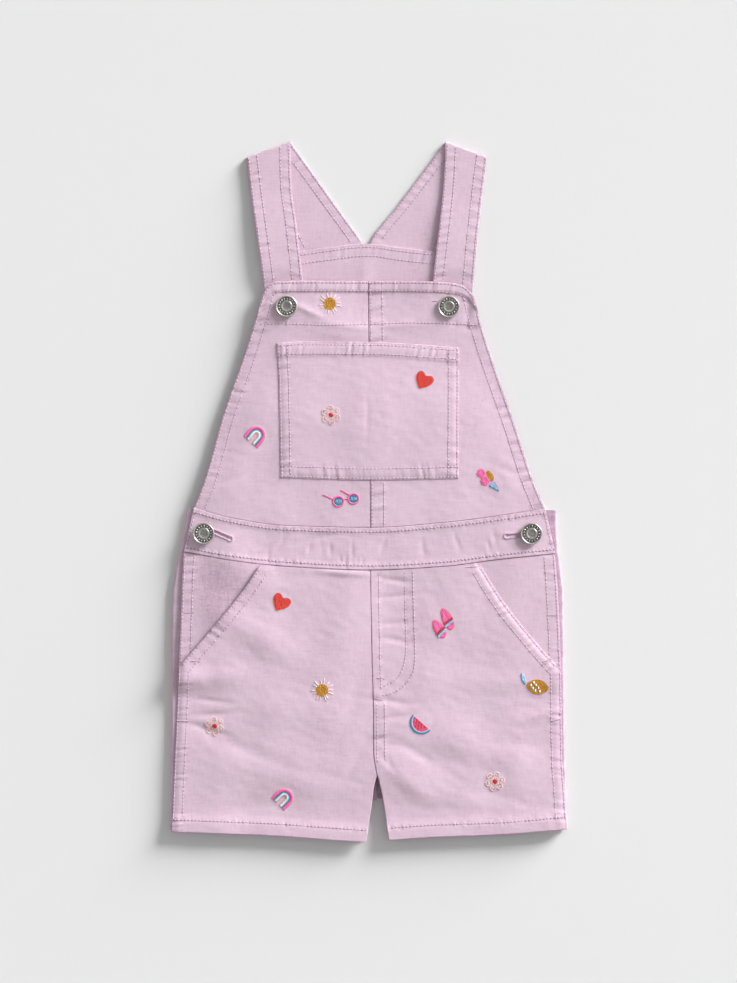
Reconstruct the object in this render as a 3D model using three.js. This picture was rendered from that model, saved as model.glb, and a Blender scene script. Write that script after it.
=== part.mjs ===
// A toddler's shortalls in lilac cotton twill, buttoned up and laid flat with the front on top.
// Units are millimetres. +X is to the right of someone who looks down on the garment, +Y runs
// from the leg hems to the shoulders and +Z is up. The origin is on the surface that the garment
// lies on, under the middle of its outline. Left and right are the onlooker's.
import * as THREE from 'three';

// Cloth
const CLOTH = 1.2; // one layer of twill, as a wall
const BAND = 2.4; // the waistband: two layers and the seam allowances between them
const STRAP = 1.4; // a strap: two layers pressed flat
const HEM_EXTRA = 0.6; // how much a turned hem adds to one layer
const BACK_HEM_EXTRA = 0.4; // the same inside the back of a leg
const SEAM_GAP = 0.3; // between pieces that are sewn edge to edge or one on the other
const LAP_GAP = 0.5; // between loose layers that lie on each other

// Heights of the undersides above the surface
const FOLD_RADIUS = 1.6; // outside radius where the back folds round to the front at the sides
const OVER_RETURN = 2 * FOLD_RADIUS + SEAM_GAP; // the front, where it lies on the back's return
const LEG_REST = 2.4; // the front of the legs, away from the sides
const BIB_REST = 1.9; // the bib, away from the straps
const BIB_LIFT = 2.2; // how much more the bib rises over the ends of the straps
const BACK_HEM_LIFT = 1.7; // the back bib's top hem, where it lies on the ends of the straps

// Widths of turned and lapped cloth
const LEG_HEM = 8.4;
const BIB_HEM = 6.5;
const POCKET_HEM = 9.8;
const HEM_STEP = 1; // over which a hem comes down to one layer
const RETURN_WIDTH = 20; // how far the back reaches in over itself from the side folds
const FACING_LAP = 11; // how far the slant pocket's facing reaches in under the front

// Lines of the outline and the seams. Each is a table of x at y, or of y at x.
const SIDE_FOLD = {
  left: [
    { y: -12, x: -126.3 },
    { y: -33, x: -129.7 },
    { y: -52, x: -134 },
    { y: -71, x: -136.8 },
    { y: -90, x: -137.5 },
    { y: -187, x: -138 },
    { y: -238, x: -139 },
  ],
  right: [
    { y: -13, x: 131.4 },
    { y: -32, x: 131.9 },
    { y: -55, x: 134.5 },
    { y: -71, x: 136.1 },
    { y: -120, x: 136.6 },
    { y: -177, x: 137.2 },
    { y: -236, x: 139 },
  ],
};
const FRONT_SIDE = {
  left: [
    { y: -11, x: -122.1 },
    { y: -42, x: -129.2 },
    { y: -84, x: -131 },
    { y: -121, x: -132.4 },
    { y: -160, x: -134.2 },
    { y: -192, x: -135.7 },
    { y: -238, x: -137.6 },
  ],
  right: [
    { y: -12, x: 123.5 },
    { y: -43, x: 130.1 },
    { y: -87, x: 133 },
    { y: -125, x: 134.4 },
    { y: -187, x: 135.4 },
    { y: -216, x: 137.4 },
    { y: -236, x: 138.6 },
  ],
};
const SLANT = {
  left: [
    { y: -51.2, x: -75.7 },
    { y: -68, x: -87 },
    { y: -98, x: -111.4 },
    { y: -121, x: -131.2 },
  ],
  right: [
    { y: -50.5, x: 77.6 },
    { y: -74, x: 92.3 },
    { y: -104, x: 115.8 },
    { y: -123, x: 132.8 },
  ],
};
const BIB_SIDE = {
  left: [
    { y: 138, x: -73.8 },
    { y: 117, x: -79.9 },
    { y: 95, x: -86.9 },
    { y: 52, x: -101.9 },
    { y: 8, x: -114.4 },
    { y: -11, x: -121.9 },
  ],
  right: [
    { y: 136, x: 73.8 },
    { y: 116, x: 79 },
    { y: 89, x: 87.6 },
    { y: 46, x: 102.6 },
    { y: 10, x: 114.2 },
    { y: -12, x: 123.3 },
  ],
};
const INSEAM = {
  left: [
    { y: -199, x: 5.6 },
    { y: -206, x: 3.8 },
    { y: -214, x: 2.9 },
    { y: -245, x: -1.8 },
  ],
  right: [
    { y: -199, x: 6.6 },
    { y: -206, x: 8.2 },
    { y: -214, x: 9.8 },
    { y: -244, x: 14.2 },
  ],
};
const CENTRE_FRONT = [
  { y: 147, x: -0.2 },
  { y: 10, x: 1 },
  { y: -55, x: 1.4 },
  { y: -113, x: 2.3 },
  { y: -159, x: 3.5 },
  { y: -182, x: 3.6 },
  { y: -199, x: 6.1 },
];
const CENTRE_BACK = [
  { y: -25, x: 1.4 },
  { y: -120, x: 3 },
  { y: -216, x: 6 },
];
const BIB_TOP = [
  { x: -73.8, y: 138.4 },
  { x: -70.3, y: 143.5 },
  { x: -65.5, y: 146.4 },
  { x: -48, y: 147 },
  { x: 22, y: 147 },
  { x: 50, y: 146.3 },
  { x: 62, y: 144.9 },
  { x: 68.2, y: 142.6 },
  { x: 73.8, y: 136 },
];
const WAIST_TOP = [
  { x: -123, y: -11 },
  { x: -97, y: -18.2 },
  { x: -58, y: -23.8 },
  { x: 1.4, y: -25.2 },
  { x: 53, y: -21.7 },
  { x: 124, y: -12 },
];
const WAIST_BOTTOM = [
  { x: -129, y: -42 },
  { x: -97, y: -47.8 },
  { x: -58, y: -52.2 },
  { x: 1.8, y: -54.8 },
  { x: 53, y: -52.2 },
  { x: 92, y: -47.3 },
  { x: 131, y: -43.4 },
];
const LEG_BOTTOM = {
  left: [
    { x: -139, y: -237.6 },
    { x: -62.6, y: -240.6 },
    { x: -28, y: -243.2 },
    { x: -1.8, y: -245 },
  ],
  right: [
    { x: 14.2, y: -243.5 },
    { x: 43, y: -241.5 },
    { x: 92, y: -239.6 },
    { x: 139, y: -235.8 },
  ],
};
const POCKET = {
  left: [
    { y: 104, x: -64 },
    { y: 70, x: -62.8 },
    { y: 9, x: -61.6 },
  ],
  right: [
    { y: 100, x: 63.3 },
    { y: 9, x: 62.9 },
  ],
  top: [
    { x: -64, y: 103.6 },
    { x: -48, y: 104.6 },
    { x: 0, y: 104.3 },
    { x: 63.3, y: 100.6 },
  ],
  bottom: [
    { x: -61.6, y: 9.4 },
    { x: 0, y: 7.7 },
    { x: 62.9, y: 8.8 },
  ],
};
const BACK_BIB = {
  left: [
    { y: 167.6, x: -50.8 },
    { y: 140, x: -53 },
    { y: 100, x: -60 },
    { y: 60, x: -76 },
    { y: 20, x: -99 },
    { y: 0, x: -112 },
    { y: -11.6, x: -122.4 },
  ],
  right: [
    { y: 167.6, x: 51.4 },
    { y: 140, x: 53 },
    { y: 100, x: 60 },
    { y: 60, x: 76 },
    { y: 20, x: 100 },
    { y: 0, x: 113 },
    { y: -11.6, x: 123.4 },
  ],
  top: [
    { x: -50.8, y: 167.3 },
    { x: -27, y: 170.8 },
    { x: -4, y: 173.2 },
    { x: 3, y: 173.2 },
    { x: 20, y: 170.8 },
    { x: 51.4, y: 167.3 },
  ],
};

// A strap's sections, from its end under the back bib to the shoulder fold, and from there to its
// end under the front bib: the outer and the inner edge, and the height of the underside.
const STRAP_BACK = {
  left: [
    { outX: -47.9, outY: 162.6, inX: -0.8, inY: 168.4 },
    { outX: -51.4, outY: 168.9, inX: -4.9, inY: 175 },
    { outX: -62.6, outY: 190.6, inX: -21.6, inY: 198.4 },
    { outX: -73.8, outY: 212.2, inX: -38.2, inY: 221.7 },
  ],
  right: [
    { outX: 48.5, outY: 162.4, inX: -0.2, inY: 168.4 },
    { outX: 51.8, outY: 168.7, inX: 1.6, inY: 175 },
    { outX: 62.2, outY: 190.6, inX: 19.2, inY: 198.4 },
    { outX: 72.6, outY: 212.2, inX: 36.9, inY: 221.7 },
  ],
};
const SHOULDER = {
  left: { outX: -85.2, outY: 234, inX: -54.9, inY: 245 },
  right: { outX: 83, outY: 234.1, inX: 54.2, inY: 245 },
};
const STRAP_FRONT = {
  left: [
    { outX: -82.5, outY: 211.4, inX: -53.6, inY: 211.4, under: 1.9 },
    { outX: -79.6, outY: 190, inX: -50.7, inY: 190, under: 2.8 },
    { outX: -77, outY: 172, inX: -48.6, inY: 172, under: 3.3 },
    { outX: -75.1, outY: 158, inX: -47, inY: 158, under: 3.3 },
    { outX: -73.5, outY: 146, inX: -45.9, inY: 146, under: 2.3 },
    { outX: -71.9, outY: 134, inX: -44.9, inY: 134, under: 1.5 },
    { outX: -70.4, outY: 121, inX: -44, inY: 121, under: 1.5 },
  ],
  right: [
    { outX: 80.1, outY: 211.4, inX: 52, inY: 211.4, under: 1.9 },
    { outX: 77.6, outY: 190, inX: 49.8, inY: 190, under: 2.8 },
    { outX: 75.7, outY: 172, inX: 47.6, inY: 172, under: 3.3 },
    { outX: 74.5, outY: 158, inX: 46, inY: 158, under: 3.3 },
    { outX: 73.4, outY: 146, inX: 44.6, inY: 146, under: 2.3 },
    { outX: 72.2, outY: 134, inX: 43.4, inY: 134, under: 1.5 },
    { outX: 70.8, outY: 121, inX: 42.4, inY: 121, under: 1.5 },
  ],
};

// The largest soft folds of the front: the middle of each, its direction from +X in degrees, its
// half length and half width, and its height.
const FRONT_FOLDS = [
  { x: -18, y: -100, turn: 80, length: 48, width: 15, height: 0.9 },
  { x: -62, y: -150, turn: -12, length: 60, width: 14, height: 0.8 },
  { x: -58, y: -196, turn: -8, length: 64, width: 16, height: 1.0 },
  { x: 42, y: -206, turn: -28, length: 46, width: 13, height: 1.3 },
  { x: 66, y: -176, turn: -24, length: 56, width: 15, height: 0.9 },
  { x: 44, y: -112, turn: 74, length: 50, width: 16, height: 0.7 },
  { x: 82, y: -138, turn: -10, length: 40, width: 14, height: 0.6 },
  { x: -84, y: 40, turn: 66, length: 60, width: 12, height: 0.8 },
  { x: 86, y: 38, turn: -66, length: 60, width: 12, height: 0.9 },
  { x: -30, y: 118, turn: -14, length: 34, width: 11, height: 0.8 },
  { x: 30, y: 116, turn: 10, length: 36, width: 11, height: 0.7 },
  { x: 0, y: 54, turn: 88, length: 46, width: 18, height: 0.7 },
];

// A cast shank button
const BUTTON_RADIUS = 7.6;
const BUTTON_PROFILE = [
  { r: 0, z: 0 },
  { r: 3.2, z: 0 },
  { r: 3.2, z: 0.7 },
  { r: 6.9, z: 0.9 },
  { r: BUTTON_RADIUS, z: 1.6 },
  { r: BUTTON_RADIUS, z: 2.3 },
  { r: 7, z: 2.9 },
  { r: 6.3, z: 2.5 },
  { r: 4.1, z: 2.5 },
  { r: 3.6, z: 2.9 },
  { r: 2.9, z: 2.9 },
  { r: 2.4, z: 2.5 },
  { r: 0, z: 2.4 },
];
const BUTTONS = [
  { name: 'button_bib_left', x: -57.4, y: 130.5, cloth: CLOTH },
  { name: 'button_bib_right', x: 56, y: 129.2, cloth: CLOTH },
  { name: 'button_waist_left', x: -115.8, y: -30.1, cloth: BAND },
  { name: 'button_waist_right', x: 114.1, y: -28.7, cloth: BAND },
];

const TWILL = { color: 0xdcc0d8, roughness: 0.9, metalness: 0 };
const NICKEL = { color: 0x9a9a98, roughness: 0.3, metalness: 1 };

// 0 before start, 1 after end and smooth between them.
const ease = (start, end, value) => THREE.MathUtils.smoothstep(value, start, end);

// A smooth line through a table's rows that never overshoots them, straight on past its ends.
function line(table, key, column) {
  const rows = [...table].sort((a, b) => a[key] - b[key]);
  const steps = rows.slice(1).map((row, i) => {
    const width = row[key] - rows[i][key];
    return { width, slope: (row[column] - rows[i][column]) / width };
  });
  const slopes = rows.map((row, i) => {
    const before = steps[i - 1] ?? steps[i];
    const after = steps[i] ?? steps[i - 1];
    if (before.slope * after.slope <= 0) return 0;
    return (2 * before.slope * after.slope) / (before.slope + after.slope);
  });
  return (at) => {
    const last = rows.length - 1;
    if (at <= rows[0][key]) return rows[0][column] + (at - rows[0][key]) * slopes[0];
    if (at >= rows[last][key]) return rows[last][column] + (at - rows[last][key]) * slopes[last];
    const i = rows.findIndex((row) => row[key] > at) - 1;
    const { width } = steps[i];
    const t = (at - rows[i][key]) / width;
    const rise = t * t * (3 - 2 * t);
    return (
      rows[i][column] * (1 - rise) +
      rows[i + 1][column] * rise +
      width * t * (1 - t) * ((1 - t) * slopes[i] - t * slopes[i + 1])
    );
  };
}
const xAt = (table) => line(table, 'y', 'x');
const yAt = (table) => line(table, 'x', 'y');

const SIDES = ['left', 'right'];
const both = (make) => Object.fromEntries(SIDES.map((side) => [side, make(side)]));
const outward = { left: -1, right: 1 };
const sideFold = both((side) => xAt(SIDE_FOLD[side]));
const frontSide = both((side) => xAt(FRONT_SIDE[side]));
const slant = both((side) => xAt(SLANT[side]));
const slantEnd = both((side) => SLANT[side].at(-1));
const bibSide = both((side) => xAt(BIB_SIDE[side]));
const inseam = both((side) => xAt(INSEAM[side]));
const legBottom = both((side) => yAt(LEG_BOTTOM[side]));
const centreFront = xAt(CENTRE_FRONT);
const centreBack = xAt(CENTRE_BACK);
const bibTop = yAt(BIB_TOP);
const waistTop = yAt(WAIST_TOP);
const waistBottom = yAt(WAIST_BOTTOM);
const backTop = yAt(BACK_BIB.top);
const backWaist = (x) =>
  waistTop(THREE.MathUtils.clamp(x, WAIST_TOP[0].x, WAIST_TOP.at(-1).x)) - 1;

const CROTCH_FRONT = CENTRE_FRONT.at(-1).y;
const CROTCH_BACK = CENTRE_BACK.at(-1).y;

function foldHeight(x, y) {
  return FRONT_FOLDS.reduce((sum, fold) => {
    const turn = THREE.MathUtils.degToRad(fold.turn);
    const along = (x - fold.x) * Math.cos(turn) + (y - fold.y) * Math.sin(turn);
    const across = (y - fold.y) * Math.cos(turn) - (x - fold.x) * Math.sin(turn);
    return sum + fold.height * Math.exp(-((along / fold.length) ** 2) - (across / fold.width) ** 2);
  }, 0);
}

// How high the underside of the front's first layer lies.
function frontUnder(x, y) {
  const side = x < centreFront(y) ? 'left' : 'right';
  const inFromFold = outward[side] * (sideFold[side](Math.min(y, SIDE_FOLD[side][0].y)) - x);
  const onReturn = (1 - ease(30, 60, inFromFold)) * (1 - ease(-4, 40, y));
  const onStrap = ease(88, 147, y) * ease(2, 36, Math.abs(x));
  const rest = BIB_REST + (LEG_REST - BIB_REST) * (1 - ease(-20, 40, y));
  return rest + (OVER_RETURN - rest) * onReturn + BIB_LIFT * onStrap + foldHeight(x, y);
}

// How much the front of a leg rises over the slant pocket's facing.
function facingLift(side, x, y) {
  const from = outward[side] * (slant[side](Math.max(y, slantEnd[side].y)) - x);
  const beside = 1 - ease(20, 54, from);
  const above = ease(slantEnd[side].y - 50, slantEnd[side].y - 16, y);
  return (CLOTH + LAP_GAP) * beside * above;
}

// A closed wall between two surfaces, each a grid of points with the same rows and columns.
function wall(outer, inner) {
  const rows = outer.length;
  const columns = outer[0].length;
  const points = [...outer.flat(), ...inner.flat()];
  const out = (i, j) => i * columns + j;
  const back = (i, j) => rows * columns + out(i, j);
  const index = [];
  const face = (a, b, c, d) => index.push(a, b, c, a, c, d);
  for (let i = 0; i + 1 < rows; i += 1) {
    for (let j = 0; j + 1 < columns; j += 1) {
      face(out(i, j), out(i + 1, j), out(i + 1, j + 1), out(i, j + 1));
      face(back(i, j), back(i, j + 1), back(i + 1, j + 1), back(i + 1, j));
    }
  }
  for (let i = 0; i + 1 < rows; i += 1) {
    const last = columns - 1;
    face(out(i, 0), back(i, 0), back(i + 1, 0), out(i + 1, 0));
    face(out(i, last), out(i + 1, last), back(i + 1, last), back(i, last));
  }
  for (let j = 0; j + 1 < columns; j += 1) {
    const last = rows - 1;
    face(out(0, j), out(0, j + 1), back(0, j + 1), back(0, j));
    face(out(last, j), back(last, j), back(last, j + 1), out(last, j + 1));
  }
  const geometry = new THREE.BufferGeometry().setFromPoints(points);
  geometry.setIndex(index);
  geometry.computeVertexNormals();
  return geometry;
}

// Shares from 0 to 1 in even steps, with more of them where a form needs them.
function shares(count, ...more) {
  const even = Array.from({ length: count + 1 }, (_, i) => i / count);
  const near = 0.3 / count;
  const kept = even.filter((a) => a === 0 || a === 1 || more.every((b) => Math.abs(a - b) > near));
  return [...new Set([...kept, ...more])].sort((a, b) => a - b);
}

// How far down a panel a place lies, as a share.
const shareDown = ({ top, bottom }, { x, y }) => (top(x) - y) / (top(x) - bottom(x));

// A point of a panel between four lines, at a share of the way across and down it.
function panelPoint({ start, end, top, bottom }, across, down) {
  let x = 0;
  let y = top(0);
  for (let i = 0; i < 12; i += 1) {
    x = start(y) + (end(y) - start(y)) * across;
    y = top(x) + (bottom(x) - top(x)) * down;
  }
  return { x, y };
}

// A panel that lies face up: its underside follows a height, and it may be thicker in places.
function panel(edges, columns, rows, under, thickness) {
  const grid = rows.map((down) => columns.map((across) => panelPoint(edges, across, down)));
  const lower = grid.map((row) => row.map(({ x, y }) => new THREE.Vector3(x, y, under(x, y))));
  const upper = lower.map((row) =>
    row.map((point) => point.clone().setZ(point.z + thickness(point.x, point.y))),
  );
  return wall(upper, lower);
}

// One layer of cloth, thicker within a hem's height of an edge.
const hemmed = (height, fromEdge) =>
  CLOTH + HEM_EXTRA * (1 - ease(height, height + HEM_STEP, fromEdge));

// The two sides' edges of a panel, put in order from left to right.
const fromTo = (side, outerEdge, innerEdge) =>
  side === 'left'
    ? { start: outerEdge, end: innerEdge }
    : { start: innerEdge, end: outerEdge };

function frontLeg(side) {
  const edge = outward[side];
  const outer = (y) => (y > slantEnd[side].y ? slant[side](y) : frontSide[side](y));
  const inner = (y) =>
    y > CROTCH_FRONT ? centreFront(y) + (edge * SEAM_GAP) / 2 : inseam[side](y);
  const edges = {
    ...fromTo(side, outer, inner),
    top: (x) => waistBottom(x) - SEAM_GAP,
    bottom: legBottom[side],
  };
  const hemAt = (height) => shareDown(edges, { x: 0, y: legBottom[side](0) + height });
  const rows = shares(
    17,
    shareDown(edges, slantEnd[side]),
    shareDown(edges, CENTRE_FRONT.at(-1)),
    hemAt(LEG_HEM + HEM_STEP),
    hemAt(LEG_HEM),
  );
  return panel(
    edges,
    shares(11),
    rows,
    (x, y) => frontUnder(x, y) + facingLift(side, x, y),
    (x, y) => hemmed(LEG_HEM, y - legBottom[side](x)),
  );
}

function slantFacing(side) {
  const edge = outward[side];
  const bottom = slantEnd[side].y - 6;
  const edges = {
    ...fromTo(
      side,
      frontSide[side],
      (y) => slant[side](Math.max(y, slantEnd[side].y)) - edge * FACING_LAP,
    ),
    top: (x) => waistBottom(x) - SEAM_GAP,
    bottom: () => bottom,
  };
  return panel(edges, shares(6), shares(8), frontUnder, () => CLOTH);
}

function frontBib(side) {
  const edge = outward[side];
  const edges = {
    ...fromTo(side, bibSide[side], (y) => centreFront(y) + (edge * SEAM_GAP) / 2),
    top: bibTop,
    bottom: (x) => waistTop(x) + SEAM_GAP,
  };
  const roundCorner = [0.04, 0.1, 0.17];
  const columns = side === 'left' ? roundCorner : roundCorner.map((share) => 1 - share);
  const hemAt = (depth) => shareDown(edges, { x: 0, y: bibTop(0) - depth });
  return panel(
    edges,
    shares(9, ...columns),
    shares(14, hemAt(BIB_HEM), hemAt(BIB_HEM + HEM_STEP)),
    frontUnder,
    (x, y) => hemmed(BIB_HEM, bibTop(x) - y),
  );
}

function frontWaistband() {
  const edges = {
    start: xAt([{ y: -11, x: -122.1 }, { y: -42, x: -129.2 }]),
    end: xAt([{ y: -12, x: 123.5 }, { y: -43.4, x: 130.5 }]),
    top: waistTop,
    bottom: waistBottom,
  };
  const sewnEdge = 3.5; // how far in its edges are at their thickest
  const hollow = 0.4; // how much thinner it is between them
  const thickness = (x, y) => {
    const fromEdge = Math.min(waistTop(x) - y, y - waistBottom(x));
    return BAND - hollow * ease(sewnEdge, sewnEdge + 2, fromEdge);
  };
  const rows = [0, 0.1, 0.18, 0.5, 0.82, 0.9, 1];
  return panel(edges, shares(28), rows, (x, y) => frontUnder(x, y) + SEAM_GAP, thickness);
}

function bibPocket() {
  const edges = {
    start: xAt(POCKET.left),
    end: xAt(POCKET.right),
    top: yAt(POCKET.top),
    bottom: yAt(POCKET.bottom),
  };
  const hemAt = (depth) => shareDown(edges, { x: 0, y: edges.top(0) - depth });
  return panel(
    edges,
    shares(14),
    shares(9, hemAt(POCKET_HEM), hemAt(POCKET_HEM + HEM_STEP)),
    (x, y) => frontUnder(x, y) + CLOTH + LAP_GAP,
    (x, y) => hemmed(POCKET_HEM, edges.top(x) - y),
  );
}

// The back of a leg lies on its outside. At the side it folds up and returns over itself, so that
// the front is sewn and buttoned onto it.
function backLeg(side) {
  const edge = outward[side];
  const setIn = 1.5; // how far the inner edge lies behind the front's, below the crotch
  const shorter = 1; // how much the back ends above the front's hem
  const inner = (y) =>
    y > CROTCH_BACK ? centreBack(y) + (edge * SEAM_GAP) / 2 : inseam[side](y) + edge * setIn;
  const bend = (y) => sideFold[side](y) - edge * FOLD_RADIUS;
  const reach = (share) => (y) => bend(y) - edge * RETURN_WIDTH * share;
  const lines = {
    start: inner,
    end: bend,
    top: backWaist,
    bottom: (x) => legBottom[side](x) + shorter,
  };
  const hem = shareDown(lines, { x: 0, y: lines.bottom(0) + LEG_HEM });
  const crotch = shareDown(lines, CENTRE_BACK.at(-1));
  const crotchStep = 0.004; // the share over which the inner edge steps to the inseam
  const rows = shares(19, crotch - crotchStep, crotch + crotchStep, hem);
  const bendSteps = 5;

  // The sections of the wall's two faces across one row: flat, round the bend and back on top.
  const section = (down) => {
    const thick = CLOTH + (down >= hem ? BACK_HEM_EXTRA : 0);
    const outer = [];
    const inside = [];
    const at = ({ x, y }, z) => new THREE.Vector3(x, y, z);
    for (const across of shares(10).slice(0, -1)) {
      const point = panelPoint(lines, across, down);
      outer.push(at(point, 0));
      inside.push(at(point, thick));
    }
    const corner = panelPoint(lines, 1, down);
    for (let i = 0; i <= bendSteps; i += 1) {
      const angle = Math.PI * (i / bendSteps - 0.5);
      const round = (radius) => ({ x: corner.x + edge * radius * Math.cos(angle), y: corner.y });
      const height = (radius) => FOLD_RADIUS + radius * Math.sin(angle);
      outer.push(at(round(FOLD_RADIUS), height(FOLD_RADIUS)));
      inside.push(at(round(FOLD_RADIUS - CLOTH), height(FOLD_RADIUS - CLOTH)));
    }
    for (const share of [0.5, 1]) {
      const point = panelPoint({ ...lines, end: reach(share) }, 1, down);
      outer.push(at(point, 2 * FOLD_RADIUS));
      inside.push(at(point, 2 * FOLD_RADIUS - CLOTH));
    }
    return { outer, inside };
  };
  const sections = rows.map(section);
  const outer = sections.map((each) => each.outer);
  const inside = sections.map((each) => each.inside);
  return side === 'left' ? wall(outer, inside) : wall(inside, outer);
}

function backBib() {
  const edges = {
    start: xAt(BACK_BIB.left),
    end: xAt(BACK_BIB.right),
    top: backTop,
    bottom: (x) => backWaist(x) + SEAM_GAP,
  };
  const lap = 8; // how much of the hem lies on the straps
  const slope = 14; // over how much it comes down to the surface again
  const under = (x, y) => BACK_HEM_LIFT * (1 - ease(lap, lap + slope, backTop(x) - y));
  const rowAt = (depth) => shareDown(edges, { x: 0, y: backTop(0) - depth });
  const rows = shares(14, rowAt(lap), rowAt(lap + slope / 3), rowAt(lap + (2 * slope) / 3));
  return panel(edges, shares(18), rows, under, () => CLOTH);
}

// A strap runs up flat from the back bib, folds over at the shoulder and comes down in front.
function strap(side) {
  const shoulder = SHOULDER[side];
  const along = new THREE.Vector2(shoulder.inX - shoulder.outX, shoulder.inY - shoulder.outY);
  const up = new THREE.Vector2(-along.y, along.x).normalize();
  if (up.y < 0) up.negate();
  const layGap = 0.4;
  const bendRadius = STRAP + layGap / 2;
  const outer = [];
  const inner = [];
  const addRow = (row, shift, outerZ, innerZ) => {
    const points = (move, z) =>
      shares(4).map((share) => {
        const x = THREE.MathUtils.lerp(row.outX, row.inX, share) + up.x * move;
        const y = THREE.MathUtils.lerp(row.outY, row.inY, share) + up.y * move;
        return new THREE.Vector3(x, y, z);
      });
    outer.push(points(shift.outer, outerZ));
    inner.push(points(shift.inner, innerZ));
  };
  const level = { outer: 0, inner: 0 };
  for (const row of STRAP_BACK[side]) addRow(row, level, 0, STRAP);
  const steps = 6;
  for (let i = 0; i <= steps; i += 1) {
    const angle = Math.PI * (i / steps - 0.5);
    const move = (radius) => radius * Math.cos(angle) - bendRadius;
    const height = (radius) => bendRadius + radius * Math.sin(angle);
    const shift = { outer: move(bendRadius), inner: move(layGap / 2) };
    addRow(shoulder, shift, height(bendRadius), height(layGap / 2));
  }
  for (const row of STRAP_FRONT[side]) addRow(row, level, row.under + STRAP, row.under);
  return side === 'left' ? wall(outer, inner) : wall(inner, outer);
}

function button({ x, y, cloth }) {
  const profile = BUTTON_PROFILE.map(({ r, z }) => new THREE.Vector2(r, z));
  const geometry = new THREE.LatheGeometry(profile, 26);
  geometry.rotateX(Math.PI / 2);
  const reach = BUTTON_PROFILE[1].r;
  const spots = [0, 1, 2, 3, 4, 5, 6, 7].map((i) => (i * Math.PI) / 4);
  const seats = spots.map((a) => frontUnder(x + reach * Math.cos(a), y + reach * Math.sin(a)));
  const seam = cloth === BAND ? SEAM_GAP : 0;
  geometry.translate(x, y, Math.max(...seats) + seam + cloth + SEAM_GAP);
  return geometry;
}

const shortalls = new THREE.Group();
function add(name, geometry, finish) {
  const mesh = new THREE.Mesh(geometry, new THREE.MeshStandardMaterial(finish));
  mesh.name = name;
  shortalls.add(mesh);
}

for (const side of SIDES) {
  add(`back_leg_${side}`, backLeg(side), TWILL);
  add(`strap_${side}`, strap(side), TWILL);
  add(`front_leg_${side}`, frontLeg(side), TWILL);
  add(`slant_pocket_facing_${side}`, slantFacing(side), TWILL);
  add(`front_bib_${side}`, frontBib(side), TWILL);
}
add('back_bib', backBib(), TWILL);
add('front_waistband', frontWaistband(), TWILL);
add('bib_pocket', bibPocket(), TWILL);
for (const each of BUTTONS) add(each.name, button(each), NICKEL);

export default shortalls;
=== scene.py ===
"""A toddler's bib shortalls in lilac cotton twill, buttoned up and laid out flat, front up.

Lengths are millimetres until a mesh is made. The axes are the frame's: +X to the right of someone
who looks down on the garment, +Y from the leg hems to the shoulders, +Z up from the surface that
the garment lies on. Left and right are the onlooker's.
"""
import math

import bpy
import numpy as np
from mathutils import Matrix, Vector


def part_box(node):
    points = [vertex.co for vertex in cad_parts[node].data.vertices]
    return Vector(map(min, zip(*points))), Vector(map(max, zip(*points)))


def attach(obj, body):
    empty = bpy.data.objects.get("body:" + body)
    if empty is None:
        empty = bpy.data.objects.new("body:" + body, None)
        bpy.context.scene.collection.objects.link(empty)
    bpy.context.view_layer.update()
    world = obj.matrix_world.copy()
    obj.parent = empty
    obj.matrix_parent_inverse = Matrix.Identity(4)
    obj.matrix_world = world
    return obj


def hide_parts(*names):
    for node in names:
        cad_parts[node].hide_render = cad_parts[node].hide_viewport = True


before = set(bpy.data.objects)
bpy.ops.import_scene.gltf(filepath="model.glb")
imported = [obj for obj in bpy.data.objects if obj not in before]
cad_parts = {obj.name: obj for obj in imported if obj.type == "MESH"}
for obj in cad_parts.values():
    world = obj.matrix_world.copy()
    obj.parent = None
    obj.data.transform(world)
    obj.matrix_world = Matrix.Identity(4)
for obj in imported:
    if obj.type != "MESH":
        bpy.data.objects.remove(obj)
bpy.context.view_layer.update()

MM = 0.001
SIDES = ("left", "right")
OUTWARD = {"left": -1, "right": 1}

# Cloth: thicknesses, and heights over the surface, as in the solids unless a line says otherwise
CLOTH = 1.2
BAND_SHOWN = 1.45  # the waistband is pressed flatter than in the solids
POCKET_SHOWN = 0.75  # and so is the bib pocket
STRAP = 1.4
HEM_EXTRA = 0.6
BACK_HEM_EXTRA = 0.4
SEAM_GAP = 0.3
FOLD_RADIUS = 1.6
OVER_RETURN = 2 * FOLD_RADIUS + SEAM_GAP
LEG_REST = 2.4
BIB_REST = 1.9
BIB_LIFT = 1.5  # how much the straps' ends raise the bib
SOLID_BIB_LIFT = 2.2  # the same in the solids
BACK_HEM_LIFT = 1.4
LEG_HEM = 8.4
BIB_HEM = 6.5
POCKET_HEM = 9.8
HEM_STEP = 1.0
RETURN_WIDTH = 20
FACING_LAP = 11

# Sewing
STITCH = 2.5  # from one stitch of the topstitching to the next
THREAD = 0.6  # how wide the topstitching thread lies
HEM_ROW = 8.6  # the single row of the leg hems, from the edge

# Lines of the outline and the seams: (y, x) where a name says x_of, and (x, y) where it says y_of
SIDE_FOLD_X = {
    "left": ((-12, -126.3), (-33, -129.7), (-52, -134), (-71, -136.8), (-90, -137.5), (-187, -138),
             (-238, -139)),
    "right": ((-13, 131.4), (-32, 131.9), (-55, 134.5), (-71, 136.1), (-120, 136.6), (-177, 137.2),
              (-236, 139)),
}
FRONT_SIDE_X = {
    "left": ((-11, -122.1), (-42, -129.2), (-84, -131), (-121, -132.4), (-160, -134.2),
             (-192, -135.7), (-238, -137.6)),
    "right": ((-12, 123.5), (-43, 130.1), (-87, 133), (-125, 134.4), (-187, 135.4), (-216, 137.4),
              (-236, 138.6)),
}
SLANT_X = {
    "left": ((-51.2, -75.7), (-68, -87), (-98, -111.4), (-121, -131.2)),
    "right": ((-50.5, 77.6), (-74, 92.3), (-104, 115.8), (-123, 132.8)),
}
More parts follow.
